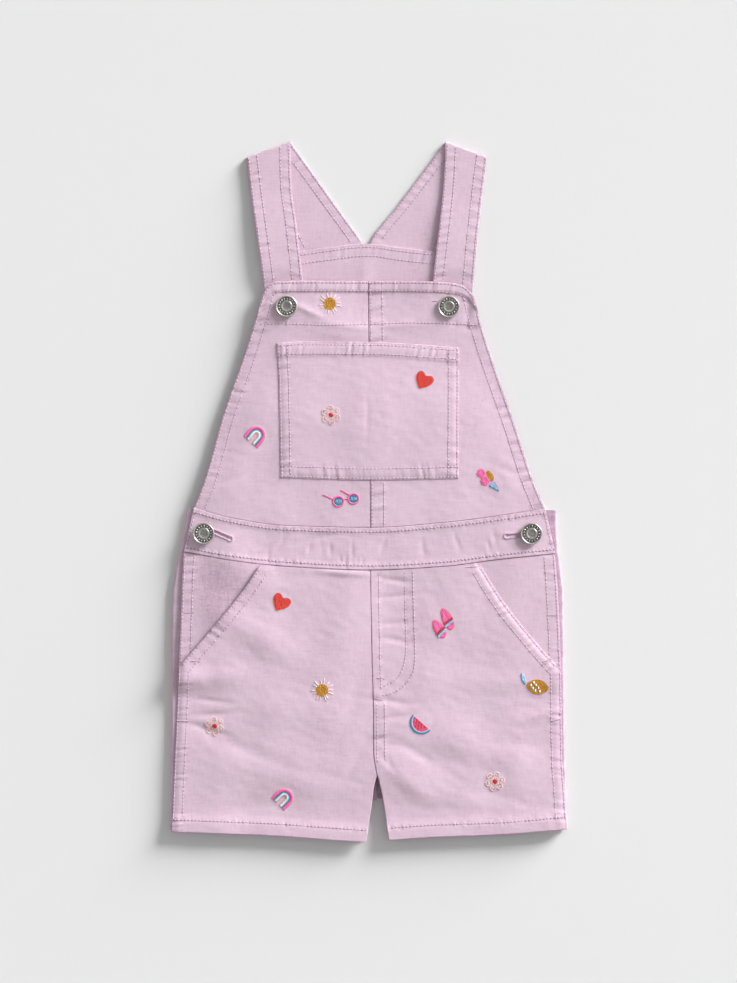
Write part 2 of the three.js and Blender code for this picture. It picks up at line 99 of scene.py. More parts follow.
BIB_SIDE_X = {
    "left": ((138, -73.8), (117, -79.9), (95, -86.9), (52, -101.9), (8, -114.4), (-11, -121.9)),
    "right": ((136, 73.8), (116, 79), (89, 87.6), (46, 102.6), (10, 114.2), (-12, 123.3)),
}
INSEAM_X = {
    "left": ((-199, 5.6), (-206, 3.8), (-214, 2.9), (-245, -1.8)),
    "right": ((-199, 6.6), (-206, 8.2), (-214, 9.8), (-244, 14.2)),
}
CENTRE_FRONT_X = ((147, -0.2), (10, 1), (-55, 1.4), (-113, 2.3), (-159, 3.5), (-182, 3.6), (-199, 6.1))
CENTRE_BACK_X = ((-25, 1.4), (-120, 3), (-216, 6))
BIB_TOP_Y = ((-73.8, 138.4), (-70.3, 143.5), (-65.5, 146.4), (-48, 147), (22, 147), (50, 146.3),
             (62, 144.9), (68.2, 142.6), (73.8, 136))
WAIST_TOP_Y = ((-123, -11), (-97, -18.2), (-58, -23.8), (1.4, -25.2), (53, -21.7), (124, -12))
WAIST_BOTTOM_Y = ((-129, -42), (-97, -47.8), (-58, -52.2), (1.8, -54.8), (53, -52.2), (92, -47.3),
                  (131, -43.4))
LEG_BOTTOM_Y = {
    "left": ((-139, -237.6), (-62.6, -240.6), (-28, -243.2), (-1.8, -245)),
    "right": ((14.2, -243.5), (43, -241.5), (92, -239.6), (139, -235.8)),
}
POCKET_LEFT_X = ((104, -64), (70, -62.8), (9, -61.6))
POCKET_RIGHT_X = ((100, 63.3), (9, 62.9))
POCKET_TOP_Y = ((-64, 103.6), (-48, 104.6), (0, 104.3), (63.3, 100.6))
POCKET_BOTTOM_Y = ((-61.6, 9.4), (0, 7.7), (62.9, 8.8))
BACK_BIB_X = {
    "left": ((167.6, -50.8), (140, -53), (100, -60), (60, -76), (20, -99), (0, -112), (-11.6, -122.4)),
    "right": ((167.6, 51.4), (140, 53), (100, 60), (60, 76), (20, 100), (0, 113), (-11.6, 123.4)),
}
BACK_TOP_Y = ((-50.8, 167.3), (-27, 170.8), (-4, 173.2), (3, 173.2), (20, 170.8), (51.4, 167.3))

# A strap's sections: outer edge (x, y), inner edge (x, y) and, in front, the underside's height
STRAP_BACK = {
    "left": ((-47.9, 162.6, -0.8, 168.4), (-51.4, 168.9, -4.9, 175), (-62.6, 190.6, -21.6, 198.4),
             (-73.8, 212.2, -38.2, 221.7)),
    "right": ((48.5, 162.4, -0.2, 168.4), (51.8, 168.7, 1.6, 175), (62.2, 190.6, 19.2, 198.4),
              (72.6, 212.2, 36.9, 221.7)),
}
SHOULDER = {"left": (-85.2, 234, -54.9, 245), "right": (83, 234.1, 54.2, 245)}
STRAP_FRONT = {
    "left": ((-82.5, 211.4, -53.6, 211.4, 1.9), (-79.6, 190, -50.7, 190, 2.8),
             (-77, 172, -48.6, 172, 3.3), (-75.1, 158, -47, 158, 3.3),
             (-73.5, 146, -45.9, 146, 2.3), (-71.9, 134, -44.9, 134, 1.5),
             (-70.4, 121, -44, 121, 1.5)),
    "right": ((80.1, 211.4, 52, 211.4, 1.9), (77.6, 190, 49.8, 190, 2.8),
              (75.7, 172, 47.6, 172, 3.3), (74.5, 158, 46, 158, 3.3),
              (73.4, 146, 44.6, 146, 2.3), (72.2, 134, 43.4, 134, 1.5),
              (70.8, 121, 42.4, 121, 1.5)),
}

# The largest folds of the front: x, y, direction, half length, half width, height. They are the
# solids' folds, two of them lower, and one broad swell down the legs
FOLDS = (
    (-18, -100, 80, 48, 15, 0.9), (-62, -150, -12, 60, 14, 0.8), (-58, -196, -8, 64, 16, 1.0),
    (42, -206, -28, 46, 13, 0.9), (66, -176, -24, 56, 15, 0.9), (44, -112, 74, 50, 16, 0.7),
    (82, -138, -10, 40, 14, 0.6), (-84, 40, 66, 60, 12, 0.8), (86, 38, -66, 60, 12, 0.5),
    (-30, 118, -14, 34, 11, 0.8), (30, 116, 10, 36, 11, 0.7), (0, 54, 88, 46, 18, 0.7),
    (-10, -150, 90, 80, 70, 0.9),
)
# The creases between them: the same columns, and a trough has a negative height
CREASES = (
    (-15, 115.2, -7, 18, 2.4, 0.45), (-42, 126, -24, 11, 2.3, 0.7),
    (20, 116, 4, 16, 2.4, 0.4), (-22, 110, -5, 20, 4, 0.25),
    (69.7, 128, 88, 12, 2.0, -0.5), (70, 114, -8, 9, 2.6, -0.3), (-96, 66, 72, 30, 3.5, -0.3),
    (95, 60, -70, 26, 3.5, -0.28), (-98, 8, 20, 14, 3, -0.25), (98, 14, -24, 16, 3, -0.25),
    (-19, -56.8, -4, 17, 2.1, 0.8), (-52, -60, 8, 14, 4, -0.2), (-110, -146, -6, 15, 2.0, -0.5),
    (-108, -155.5, 4, 14, 2.0, -0.45), (-112, -166, -16, 15, 2.2, -0.55), (-96, -176, -22, 34, 5, -0.5),
    (-100, -128, 12, 14, 5, 0.35), (-40, -196, -12, 40, 6, -0.3), (-70, -218, 6, 30, 5, -0.25),
    (18, -62, -7, 12, 1.9, -0.5), (20, -73, 6, 13, 1.8, -0.45), (16, -92, 5, 10, 1.8, -0.35),
    (21, -104, -8, 12, 2.0, -0.4), (16, -146.5, -6, 15, 2.2, -0.5), (20, -157, 6, 14, 2.2, -0.36),
    (28, -204, -40, 22, 4.5, 0.45), (64, -188, -14, 42, 5.5, -0.28), (36, -184, -30, 16, 3.4, -0.35),
    (14, -176, -12, 12, 2.6, -0.3), (14, -190, -50, 12, 2.6, -0.35), (118, -157, 16, 15, 3.2, 0.4),
    (112, -150, 10, 16, 3, -0.25), (104, -176, -6, 18, 4, -0.3), (98, -214, -12, 30, 5, -0.25),
    (60, -222, -6, 30, 4, -0.25), (-12, -150, 70, 26, 4.5, -0.25), (-8, -186, 60, 16, 3.6, -0.35),
    (52, -84, -66, 34, 6, -0.22), (-58, -96, 66, 30, 6, -0.2), (2, 60, 84, 40, 7, -0.18),
    (-34, 48, -10, 30, 7, 0.18), (38, 30, 12, 30, 7, -0.16), (-88, -52, -40, 26, 14, 1.1),
    (-82, -98, -32, 36, 11, 1.3),
)
# Short creases where the waistband has shrunk on its seams: x, y, direction, half length, half width,
# height
BAND_CREASES = (
    (-41.3, -40, 80, 5, 1.0, -0.3), (-33, -40, 100, 7, 1.6, -0.16), (-26.5, -41, 92, 5, 0.9, -0.32),
    (-19.7, -47.6, 95, 2.8, 0.7, -0.4), (-15.8, -48, 85, 3.8, 0.8, -0.45),
    (-11.3, -42, 92, 7, 1.0, -0.36), (-8, -48.5, 92, 2.6, 0.7, -0.3), (-4, -49, 88, 3, 0.8, -0.36),
    (84, -38, 102, 4, 1.1, -0.26),
    (10, -38, 70, 6, 1.6, -0.30), (-60, -34, 60, 7, 1.8, -0.30), (-70, -44, 82, 4, 1.3, -0.30),
    (38, -40, 98, 6, 1.6, -0.33), (62, -36, 108, 6, 1.8, -0.30), (88, -32, 100, 6, 2, -0.33),
    (-90, -26, 40, 6, 2, -0.38), (-30, -31, 14, 16, 2.6, -0.30),
)
POCKET_CREASES = ((-1, 54, 90, 14, 1.5, -0.22), (12, 60, 97, 20, 5, 0.12))
BACK_BIB_CREASES = ((-2.5, 150, 92, 16, 5, 0.4),)
FACING_RIDGES = {"left": ((-99, -82, 52, 60, 26, 1.6),), "right": ()}


def ease(start, end, value):
    """0 before start, 1 after end and smooth between them."""
    share = np.clip((value - start) / (end - start), 0, 1)
    return share * share * (3 - 2 * share)


def bell(value, middle, width):
    """1 at the middle, and almost 0 from twice the width away."""
    return np.exp(-(((value - middle) / width) ** 2))


def line(rows):
    """A smooth line through a table's rows that never overshoots them, straight on past its ends."""
    keys, values = np.array(sorted(rows), float).T
    widths = np.diff(keys)
    steps = np.diff(values) / widths
    before, after = np.r_[steps[0], steps], np.r_[steps, steps[-1]]
    same_way = before * after > 0
    slopes = np.where(same_way, 2 * before * after / np.where(same_way, before + after, 1), 0)

    def at(where):
        where = np.asarray(where, float)
        i = np.clip(np.searchsorted(keys, where, side="right") - 1, 0, len(widths) - 1)
        share = np.clip((where - keys[i]) / widths[i], 0, 1)
        rise = share * share * (3 - 2 * share)
        bow = share * (1 - share) * ((1 - share) * slopes[i] - share * slopes[i + 1])
        inside = values[i] * (1 - rise) + values[i + 1] * rise + widths[i] * bow
        beyond = np.minimum(where - keys[0], 0) * slopes[0]
        return inside + beyond + np.maximum(where - keys[-1], 0) * slopes[-1]

    return at


side_fold = {side: line(SIDE_FOLD_X[side]) for side in SIDES}
front_side = {side: line(FRONT_SIDE_X[side]) for side in SIDES}
slant = {side: line(SLANT_X[side]) for side in SIDES}
slant_end = {side: SLANT_X[side][-1][0] for side in SIDES}
bib_side = {side: line(BIB_SIDE_X[side]) for side in SIDES}
inseam = {side: line(INSEAM_X[side]) for side in SIDES}
leg_bottom = {side: line(LEG_BOTTOM_Y[side]) for side in SIDES}
centre_front = line(CENTRE_FRONT_X)
centre_back = line(CENTRE_BACK_X)
bib_top = line(BIB_TOP_Y)
waist_top = line(WAIST_TOP_Y)
waist_bottom = line(WAIST_BOTTOM_Y)
pocket_top = line(POCKET_TOP_Y)
pocket_bottom = line(POCKET_BOTTOM_Y)
back_top = line(BACK_TOP_Y)
CROTCH_FRONT = CENTRE_FRONT_X[-1][0]
CROTCH_BACK = CENTRE_BACK_X[-1][0]


def back_waist(x):
    """The upper edge of the back legs, 1 mm below the front waistband's."""
    return waist_top(np.clip(x, WAIST_TOP_Y[0][0], WAIST_TOP_Y[-1][0])) - 1


def ridges(table, x, y):
    """The summed height of soft ridges and troughs."""
    total = np.zeros(np.shape(x))
    for at_x, at_y, turn, length, width, height in table:
        angle = math.radians(turn)
        along = (x - at_x) * math.cos(angle) + (y - at_y) * math.sin(angle)
        across = (y - at_y) * math.cos(angle) - (x - at_x) * math.sin(angle)
        total += height * np.exp(-((along / length) ** 2) - (across / width) ** 2)
    return total


def plane_waves(seed, count, shortest, longest):
    """An uneven swell of about plus or minus 1 over the surface, the same on each run."""
    random = np.random.default_rng(seed)
    turns = random.uniform(0, math.pi, count)
    lengths = random.uniform(shortest, longest, count)
    phases = random.uniform(0, 2 * math.pi, count)

    def at(x, y):
        total = np.zeros(np.shape(x))
        for turn, length, phase in zip(turns, lengths, phases):
            along = x * math.cos(turn) + y * math.sin(turn)
            total += np.sin(2 * math.pi * along / length + phase)
        return total / math.sqrt(count)

    return at


swell = plane_waves(seed=3, count=12, shortest=22, longest=70)
crumple = plane_waves(seed=8, count=16, shortest=5, longest=15)
SWELL_HEIGHT = 0.10  # loose cloth never lies quite flat
CRUMPLE_HEIGHT = 0.028  # and the wash leaves it finely crumpled
GAPE = {"left": 2.0, "right": 0.0}  # how far a slant pocket's edge stands off its facing

# How much higher than in the solids parts of the front lie
HEM_FLARE = 0.5
BIB_FLOAT = 1.4
DOME = 2.4  # the front's middle, from the bib to the tops of the legs
LEG_DOME = 2.0  # and the middle of each leg

# Where the rises of the front start and end: a level y, or a distance in from a side or a hem
RETURN_REACH, RETURN_TOP = (30, 60), (-4, 40)
STRAP_RISE, STRAP_HALF = (88, 147), (0, 46)
LEG_TO_BIB = (-20, 40)
FLARE_REACH = (1, 20)
FLOAT_RISE = (-25, 45)
DOME_REACH, DOME_FOOT, DOME_TOP = (0, 58), (-80, -25), (40, 138)
LEG_DOME_REACH, LEG_DOME_TOP, LEG_DOME_HEM = (10, 75), (-80, -30), (0, 60)
FACING_GAP = 0.2
FACING_SLOPE = (6, 84)  # the leg comes down off its pocket's facing this far in from the opening
GAPE_SLOPE = (0, 24)
OPENING_START, OPENING_FULL = 22, 8  # below the opening's lower end


def front_under(x, y):
    """How high the underside of the front's first layer lies."""
    side_x = np.where(
        x < centre_front(y),
        x - side_fold["left"](np.minimum(y, -12)),
        side_fold["right"](np.minimum(y, -13)) - x,
    )
    on_return = (1 - ease(*RETURN_REACH, side_x)) * (1 - ease(*RETURN_TOP, y))
    on_strap = ease(*STRAP_RISE, y) * ease(*STRAP_HALF, np.abs(x))
    rest = BIB_REST + (LEG_REST - BIB_REST) * (1 - ease(*LEG_TO_BIB, y))
    lay = rest + (OVER_RETURN - rest) * on_return + BIB_LIFT * on_strap
    lay += ridges(FOLDS, x, y) + ridges(CREASES, x, y)
    hem_y = np.where(x < centre_front(y), leg_bottom["left"](x), leg_bottom["right"](x))
    lay += HEM_FLARE * (1 - ease(*FLARE_REACH, y - hem_y))
    lay += BIB_FLOAT * ease(*FLOAT_RISE, y)
    inside = np.minimum(x - bib_side["left"](y), bib_side["right"](y) - x)
    lay += DOME * ease(*DOME_REACH, inside) * ease(*DOME_FOOT, y) * (1 - ease(*DOME_TOP, y))
    from_hem = 0.5 + 0.5 * ease(*LEG_DOME_HEM, y - hem_y)
    lay += LEG_DOME * ease(*LEG_DOME_REACH, side_x) * (1 - ease(*LEG_DOME_TOP, y)) * from_hem
    return lay + SWELL_HEIGHT * swell(x, y) + CRUMPLE_HEIGHT * crumple(x, y)


def facing_lift(side, x, y):
    """How much the front of a leg rises over the slant pocket's facing."""
    foot = slant_end[side]
    inside = OUTWARD[side] * (slant[side](np.maximum(y, foot)) - x)
    over_facing = (CLOTH + FACING_GAP) * (1 - ease(*FACING_SLOPE, inside))
    gaping = GAPE[side] * (1 - ease(*GAPE_SLOPE, inside))
    return (over_facing + gaping) * ease(foot - OPENING_START, foot - OPENING_FULL, y)


class Path:
    """A line on the cloth that knows how far a place is from it, and how far along it."""

    def __init__(self, points):
        self.points = np.array(points, float)
        runs = np.hypot(*np.diff(self.points, axis=0).T)
        self.marks = np.r_[0, np.cumsum(runs)]
        self.length = self.marks[-1]

    def nearest(self, x, y):
        best = np.full(np.shape(x), 1e9)
        along = np.zeros(np.shape(x))
        for (ax, ay), (bx, by), mark in zip(self.points, self.points[1:], self.marks):
            dx, dy = bx - ax, by - ay
            share = np.clip(((x - ax) * dx + (y - ay) * dy) / (dx * dx + dy * dy), 0, 1)
            far = np.hypot(x - ax - share * dx, y - ay - share * dy)
            closer = far < best
            best = np.where(closer, far, best)
            along = np.where(closer, mark + share * math.hypot(dx, dy), along)
        return best, along

    def at(self, along):
        return np.array([np.interp(along, self.marks, column) for column in self.points.T])

    def shifted(self, distance, start=0.0, end=None):
        """The same line, moved to its left by a distance, from start to end along it."""
        along = np.arange(start, (self.length if end is None else end) + 0.5, 2.0)
        x, y = self.at(along)
        ahead, behind = self.at(along + 1), self.at(along - 1)
        dx, dy = ahead - behind
        size = np.hypot(dx, dy)
        return Path(np.column_stack([x - dy / size * distance, y + dx / size * distance]))


def down_line(x_of, from_y, to_y):
    """A path along a line that gives x at each y."""
    y = np.linspace(from_y, to_y, max(2, int(abs(to_y - from_y) / 3) + 1))
    return Path(np.column_stack([x_of(y), y]))


def cross_line(y_of, from_x, to_x):
    """A path along a line that gives y at each x."""
    x = np.linspace(from_x, to_x, max(2, int(abs(to_x - from_x) / 3) + 1))
    return Path(np.column_stack([x, y_of(x)]))


def curved(*points):
    """A path that goes smoothly through its points."""
    points = np.array(points, float)
    marks = np.r_[0, np.cumsum(np.hypot(*np.diff(points, axis=0).T))]
    along = np.arange(0, marks[-1], 1.5)
    columns = [line(list(zip(marks, column)))(along) for column in points.T]
    return Path(np.column_stack(columns))


def ripple(seed, wave):
    """An uneven wave of about plus or minus 1 along a seam."""
    random = np.random.default_rng(seed)
    lengths = wave * random.uniform(0.6, 2.0, 5)
    phases = random.uniform(0, 2 * math.pi, 5)
    strengths = random.uniform(0.4, 1.0, 5)

    def at(along):
        total = sum(
            strength * np.sin(2 * math.pi * along / length + phase)
            for strength, length, phase in zip(strengths, lengths, phases)
        )
        return total / strengths.sum() * 1.8

    return at


ROW_WIDTH = 0.6  # how wide the cloth is drawn in along a row of stitches
ROW_SHADE = 0.06  # how much painted shade darkens it there
PUCKER_SPILL = 2.2  # how far past its rows a seam's puckers reach
PUCKER_SHADE = 0.8  # how much paler their ridges are, partly worn and partly painted light, and how much painted shade darkens their hollows
PAD_END = (0.3, 1.6)  # where past the last row the turned cloth below it ends


def drawn_in(rows, far):
    """How much the rows of stitches draw the cloth in, from 0 to 1."""
    return sum(bell(far, row, ROW_WIDTH) for row in rows)


class Seam:
    """Rows of topstitching beside a line, and what they do to the cloth round them.

    The rows lie to the left of the line (turn 1) or to its right (turn -1), and stop short of its
    two ends."""

    def __init__(self, path, rows, seed, turn=1, short=(1.2, 1.2), pucker=0.14, wave=5.0, pad=0.05,
                 groove=0.07, dip=1.5, tint=-0.06):
        self.path, self.rows, self.turn, self.short, self.dip = path, rows, turn, short, dip
        self.pucker, self.pad, self.groove, self.tint = pucker, pad, groove, tint
        self.ripple, self.gather = ripple(seed, wave), ripple(seed + 500, 34)

    def stitched(self):
        """The paths that the stitches follow."""
        end = self.path.length - self.short[1]
        return [self.path.shifted(self.turn * row, self.short[0], end) for row in self.rows]

    def relief(self, x, y, grooved=True):
        """The height that the seam adds, and how much it lightens or darkens the cloth."""
        far, along = self.path.nearest(x, y)
        last, middle = self.rows[-1], (self.rows[0] + self.rows[-1]) / 2
        half = (last - self.rows[0]) / 2 + PUCKER_SPILL
        # the puckers come and go along the seam, and slant a little across it
        drawn = 0.7 + 0.5 * self.gather(along)
        waves = self.ripple(along + 0.15 * far) * drawn * np.exp(-(((far - middle) / half) ** 4))
        sunk = drawn_in(self.rows, far)
        band = 1 - ease(last + PAD_END[0], last + PAD_END[1], far)
        height = self.pad * band + self.pucker * waves
        if grooved:
            height = height - self.groove * sunk
        # paler pucker ridges, partly worn and partly painted light; painted shade in the hollows and
        # along the rows
        return height, PUCKER_SHADE * waves - ROW_SHADE * sunk + self.tint * band


ROLL = 0.45  # the rounding of a turned edge
EDGE_SHADE, EDGE_SHADE_WIDTH = -1.2, 0.55  # painted shade along it, so that its lit side doesn't glare
EDGE_SHADE_UNEVENNESS = 0.16  # and how unevenly
edge_shade_ripple = ripple(7, 9.0)


def turned_edge(far, along):
    """How far the upper face drops at a turned edge, and how much painted shade darkens it there."""
    short = np.clip(ROLL - far, 0, ROLL)
    shade = EDGE_SHADE_UNEVENNESS * edge_shade_ripple(along) + EDGE_SHADE
    return ROLL - np.sqrt(ROLL**2 - short**2), shade * bell(far, 0, EDGE_SHADE_WIDTH)


PRESS_REACH = (0.2, 4.5)  # from a sewn-down edge to where the cloth has its own height again
PRESS_THINNING = 1.15  # how much thinner it gets there for each millimetre that it sinks
THINNEST = 0.25  # a wall of cloth never gets thinner


def between_lines(u, v, start, end, top, bottom, first_y):
    """The x and y of shares across and down a shape that four lines bound."""
    y = np.full(u.shape, float(first_y))
    for _ in range(16):
        x = start(y) + (end(y) - start(y)) * u
        y = top(x) + (bottom(x) - top(x)) * v
    return x, y


class Panel:
    """A flat-lying piece of cloth: its grid, its underside, its thickness and its seams.

    Its settled edges, each a path and a depth, are sewn down: they lie lower and are pressed
    thinner than the middle."""

    def __init__(self, name, start, end, top, bottom, size, step, under, thick, seams=(), rim=(),
                 settled=(), creases=()):
        self.name, self.under, self.thick = name, under, thick
        self.seams, self.rim, self.settled = seams, rim, settled
        self.creases, self.dents = creases, []
        u, v = np.meshgrid(spread(size[0], step), spread(size[1], step))
        self.x, self.y = between_lines(u, v, start, end, top, bottom, top(0.0))

    def layers(self, x, y):
        """The height of the underside, and the thickness before the seams are sewn."""
        sink = np.zeros(np.shape(x))
        for edge, depth in self.settled:
            far, _ = edge.nearest(x, y)
            sink = np.maximum(sink, depth * (1 - ease(*PRESS_REACH, far)))
        return self.under(x, y) - sink, self.thick(x, y) - PRESS_THINNING * sink

    def surface(self, x, y, grooved=True):
        """The height of the upper face, and how much paler or darker its colour is there: worn places,
        painted light and painted shade.
        """
        low, thick = self.layers(x, y)
        z = low + thick + ridges(self.creases, x, y)
        wear = np.zeros(np.shape(x))
        for seam in self.seams:
            height, shade = seam.relief(x, y, grooved)
            z += height
            wear += shade
        for dent in self.dents:
            height, shade = dent(x, y)
            z += height
            wear += shade
        for edge in self.rim:
            drop, darker = turned_edge(*edge.nearest(x, y))
            z -= drop
            wear += darker
        return z, wear

    def build(self, material):
        z, wear = self.surface(self.x, self.y)
        low, _ = self.layers(self.x, self.y)
        upper = np.stack([self.x, self.y, np.maximum(z, low + THINNEST)], axis=-1)
        lower = np.stack([self.x, self.y, low], axis=-1)
        return wall(self.name, upper, lower, wear, material)


def spread(length, step):
    """Shares of a length in even steps, with finer ones at both ends for a rolled edge."""
    near = np.array([0, 0.12, 0.35, 0.75, 1.4])
    count = max(2, round((length - 2 * near[-1]) / step))
    middle = np.linspace(near[-1], length - near[-1], count + 1)[1:-1]
    return np.r_[near, middle, length - near[::-1]] / length


def add_object(name, data):
    """An object of its own, at the origin."""
    made = bpy.data.objects.new(name, data)
    bpy.context.collection.objects.link(made)
    return made


def write_points(mesh, label, kind, field, values):
    """Gives each point of a mesh its value of an attribute."""
    mesh.attributes.new(label, kind, "POINT").data.foreach_set(field, values)


def wall(name, upper, lower, wear, material, flip=False):
    """A closed wall of cloth between two grids of points, in millimetres."""
    rows, columns = upper.shape[:2]
    count = rows * columns
    grid = np.arange(count).reshape(rows, columns)
    a, b, c, d = grid[:-1, :-1], grid[1:, :-1], grid[1:, 1:], grid[:-1, 1:]
    top = np.stack([a, b, c, d], axis=-1).reshape(-1, 4)
    under = top[:, ::-1] + count
    ring = np.r_[grid[:, 0], grid[-1, 1:], grid[-2::-1, -1], grid[0, -2:0:-1]]
    after = np.roll(ring, -1)
    rim = np.stack([ring, ring + count, after + count, after], axis=-1)
    faces = np.concatenate([top, under, rim])
    if flip:
        faces = faces[:, ::-1]
    points = np.concatenate([upper.reshape(-1, 3), lower.reshape(-1, 3)])
    shade = np.tile(wear.ravel(), 2)
    return quad_piece(name, points, faces, shade, material)


def quad_piece(name, points, faces, wear, material):
    """A smooth piece of four-sided faces, with how much paler or darker its colour is at each point: worn
    or sooty places, and on the cloth painted light and shade.
    """
    mesh = bpy.data.meshes.new(name)
    mesh.vertices.add(len(points))
    mesh.vertices.foreach_set("co", (points * MM).ravel())
    mesh.loops.add(faces.size)
    mesh.loops.foreach_set("vertex_index", faces.ravel())
    mesh.polygons.add(len(faces))
    mesh.polygons.foreach_set("loop_start", np.arange(len(faces)) * 4)
    mesh.update(calc_edges=True)
    mesh.polygons.foreach_set("use_smooth", np.ones(len(faces), bool))
    write_points(mesh, "wear", "FLOAT", "value", np.clip(wear, -1.5, 1.5))
    mesh.materials.append(material)
    return add_object(name, mesh)


def linear(code):
    """An sRGB hex colour as linear red, green, blue and alpha."""
    values = [int(code[i:i + 2], 16) / 255 for i in (1, 3, 5)]
    return tuple(v / 12.92 if v <= 0.04045 else ((v + 0.055) / 1.055) ** 2.4 for v in values) + (1.0,)


def add_node(tree, kind, output=0, inputs=None, **settings):
    """Adds a node with its settings, sets its inputs or links them (a list holds several links to
    one input) and returns one of its outputs."""
    made = tree.nodes.new(kind)
    for key, value in settings.items():
        setattr(made, key, value)
    for key, value in (inputs or {}).items():
        for each in value if isinstance(value, list) else [value]:
            if isinstance(each, bpy.types.NodeSocket):
                tree.links.new(each, made.inputs[key])
            else:
                made.inputs[key].default_value = each
    return made.outputs[output] if made.outputs else None


def new_material(name):
    """A material without nodes, and its tree."""
    material = bpy.data.materials.new(name)
    material.use_nodes = True
    material.node_tree.nodes.clear()
    return material, material.node_tree


def set_stops(colour, *stops):
    """Sets the (place, hex colour) stops of the colour ramp that a colour comes from."""
    elements = colour.node.color_ramp.elements
    while len(elements) < len(stops):
        elements.new(0.5)
    for element, (place, code) in zip(elements, stops):
        element.position = place
        element.color = linear(code)


def weighted(tree, start, *terms):
    """A start value plus each (value, weight) term."""
    total = start
    for value, weight in terms:
        numbers = {0: value, 1: weight, 2: total}
        total = add_node(tree, "ShaderNodeMath", 0, numbers, operation="MULTIPLY_ADD")
    return total


def noise(tree, place, size, detail=2.0, stretch=(1, 1, 1)):
    """Uneven patches of a size in millimetres, drawn out along the axes by the stretch."""
    squeeze = tuple(1 / each for each in stretch)
    scaled = add_node(tree, "ShaderNodeMapping", "Vector", {"Vector": place, "Scale": squeeze})
    inputs = {"Vector": scaled, "Scale": 1 / (size * MM), "Detail": detail}
    return add_node(tree, "ShaderNodeTexNoise", "Fac", inputs)


def finish_material(tree, colour, height, strength, depth, **settings):
    """A principled surface with a bump of a depth in millimetres."""
    relief = {"Height": height, "Strength": strength, "Distance": depth * MM}
    bump = add_node(tree, "ShaderNodeBump", "Normal", relief)
    inputs = {label.replace("_", " "): value for label, value in settings.items()}
    inputs.update({"Base Color": colour, "Normal": bump})
    surface = add_node(tree, "ShaderNodeBsdfPrincipled", "BSDF", inputs)
    add_node(tree, "ShaderNodeOutputMaterial", inputs={"Surface": surface})


WALE = 1.15  # the real wales are 0.7 apart; they are drawn this coarse so that they show
WAVE_RATIO = 0.314159  # a wave texture repeats every WAVE_RATIO / scale


def garment_dyed_twill(name, wale_turn):
    """Cotton twill, dyed after sewing and washed: a matt, slightly fuzzy cloth with fine slanting
    wales, uneven yarns both ways and soft clouds in its dye. Its seams' ridges are paler, partly worn
    and partly painted light, and painted shade darkens hollows, rows, turned edges, folds and corners."""
    material, tree = new_material(name)
    place = add_node(tree, "ShaderNodeTexCoord", "Object")
    rotation = (0, 0, math.radians(wale_turn))
    turned_place = add_node(tree, "ShaderNodeMapping", "Vector", {"Vector": place, "Rotation": rotation})
    bands = add_node(
        tree, "ShaderNodeTexWave", "Fac",
        {"Vector": turned_place, "Scale": WAVE_RATIO / (WALE * MM), "Distortion": 1.8, "Detail": 2.0,
         "Detail Scale": 1.6},
        wave_type="BANDS", bands_direction="X",
    )
    patches = add_node(
        tree, "ShaderNodeMapRange", "Result",
        {"Value": noise(tree, place, 11), "From Min": 0.38, "From Max": 0.62, "To Min": 0.15},
    )
    centred = add_node(tree, "ShaderNodeMath", 0, {0: bands, 1: 0.5}, operation="SUBTRACT")
    wales = add_node(tree, "ShaderNodeMath", 0, {0: centred, 1: patches}, operation="MULTIPLY")
    slubs = noise(tree, place, 1.5, 3.0)
    weft = noise(tree, place, 1.1, 2.0, (7, 1, 1))
    warp = noise(tree, place, 1.1, 2.0, (1, 7, 1))
    clouds = noise(tree, place, 24, 4.0)
    # the worn places and the painted light and shade, from the attribute of the pieces
    wear = add_node(tree, "ShaderNodeAttribute", "Fac", attribute_name="wear")
    shade = weighted(tree, -0.21, (wales, 0.10), (slubs, 0.32), (weft, 0.38), (warp, 0.34),
                     (clouds, 0.34), (wear, 0.24))
    colour = add_node(tree, "ShaderNodeValToRGB", "Color", {"Fac": shade})
    set_stops(colour, (0.0, "#AB8DA2"), (0.38, "#D9BDCE"), (0.62, "#E2C8D8"), (1.0, "#F3E0EB"))
    relief = weighted(tree, 0.0, (wales, 0.5), (slubs, 0.7), (weft, 0.6), (warp, 0.5))
    finish_material(tree, colour, relief, 0.45, 0.13, Roughness=0.9, Sheen_Weight=0.1,
                    Sheen_Roughness=0.5, Specular_IOR_Level=0.2)
    return material


def spun_thread(name, code, roughness):
    """Polyester or rayon thread: a plied strand whose twist catches a little light."""
    material, tree = new_material(name)
    place = add_node(tree, "ShaderNodeTexCoord", "Object")
    fibres = noise(tree, place, 0.9)
    shade = weighted(tree, 0.75, (fibres, 0.5))
    colour = add_node(
        tree, "ShaderNodeMix", "Result", {"Factor": 1.0, "A": linear(code), "B": shade},
        data_type="RGBA", blend_type="MULTIPLY",
    )
    finish_material(tree, colour, fibres, 0.3, 0.05, Roughness=roughness, Sheen_Weight=0.1)
    return material


def aged_nickel():
    """Dark nickel plate on cast zinc, tumbled: bright where it is worn and sooty in its hollows."""
    material, tree = new_material("aged_nickel")
    place = add_node(tree, "ShaderNodeTexCoord", "Object")
    patches = noise(tree, place, 1.6, 4.0)
    wear = add_node(tree, "ShaderNodeAttribute", "Fac", attribute_name="wear")
    shade = weighted(tree, 0.42, (wear, -0.34), (patches, 0.5))
    colour = add_node(tree, "ShaderNodeValToRGB", "Color", {"Fac": shade})
    set_stops(colour, (0.0, "#3A3837"), (0.3, "#7C7976"), (0.62, "#C4C0BB"), (1.0, "#F4F1EC"))
    rough = weighted(tree, 0.22, (patches, 0.2))
    # under its soot the plate is partly matt, so it isn't fully metallic
    finish_material(tree, colour, patches, 0.25, 0.06, Metallic=0.72, Roughness=rough)
    return material


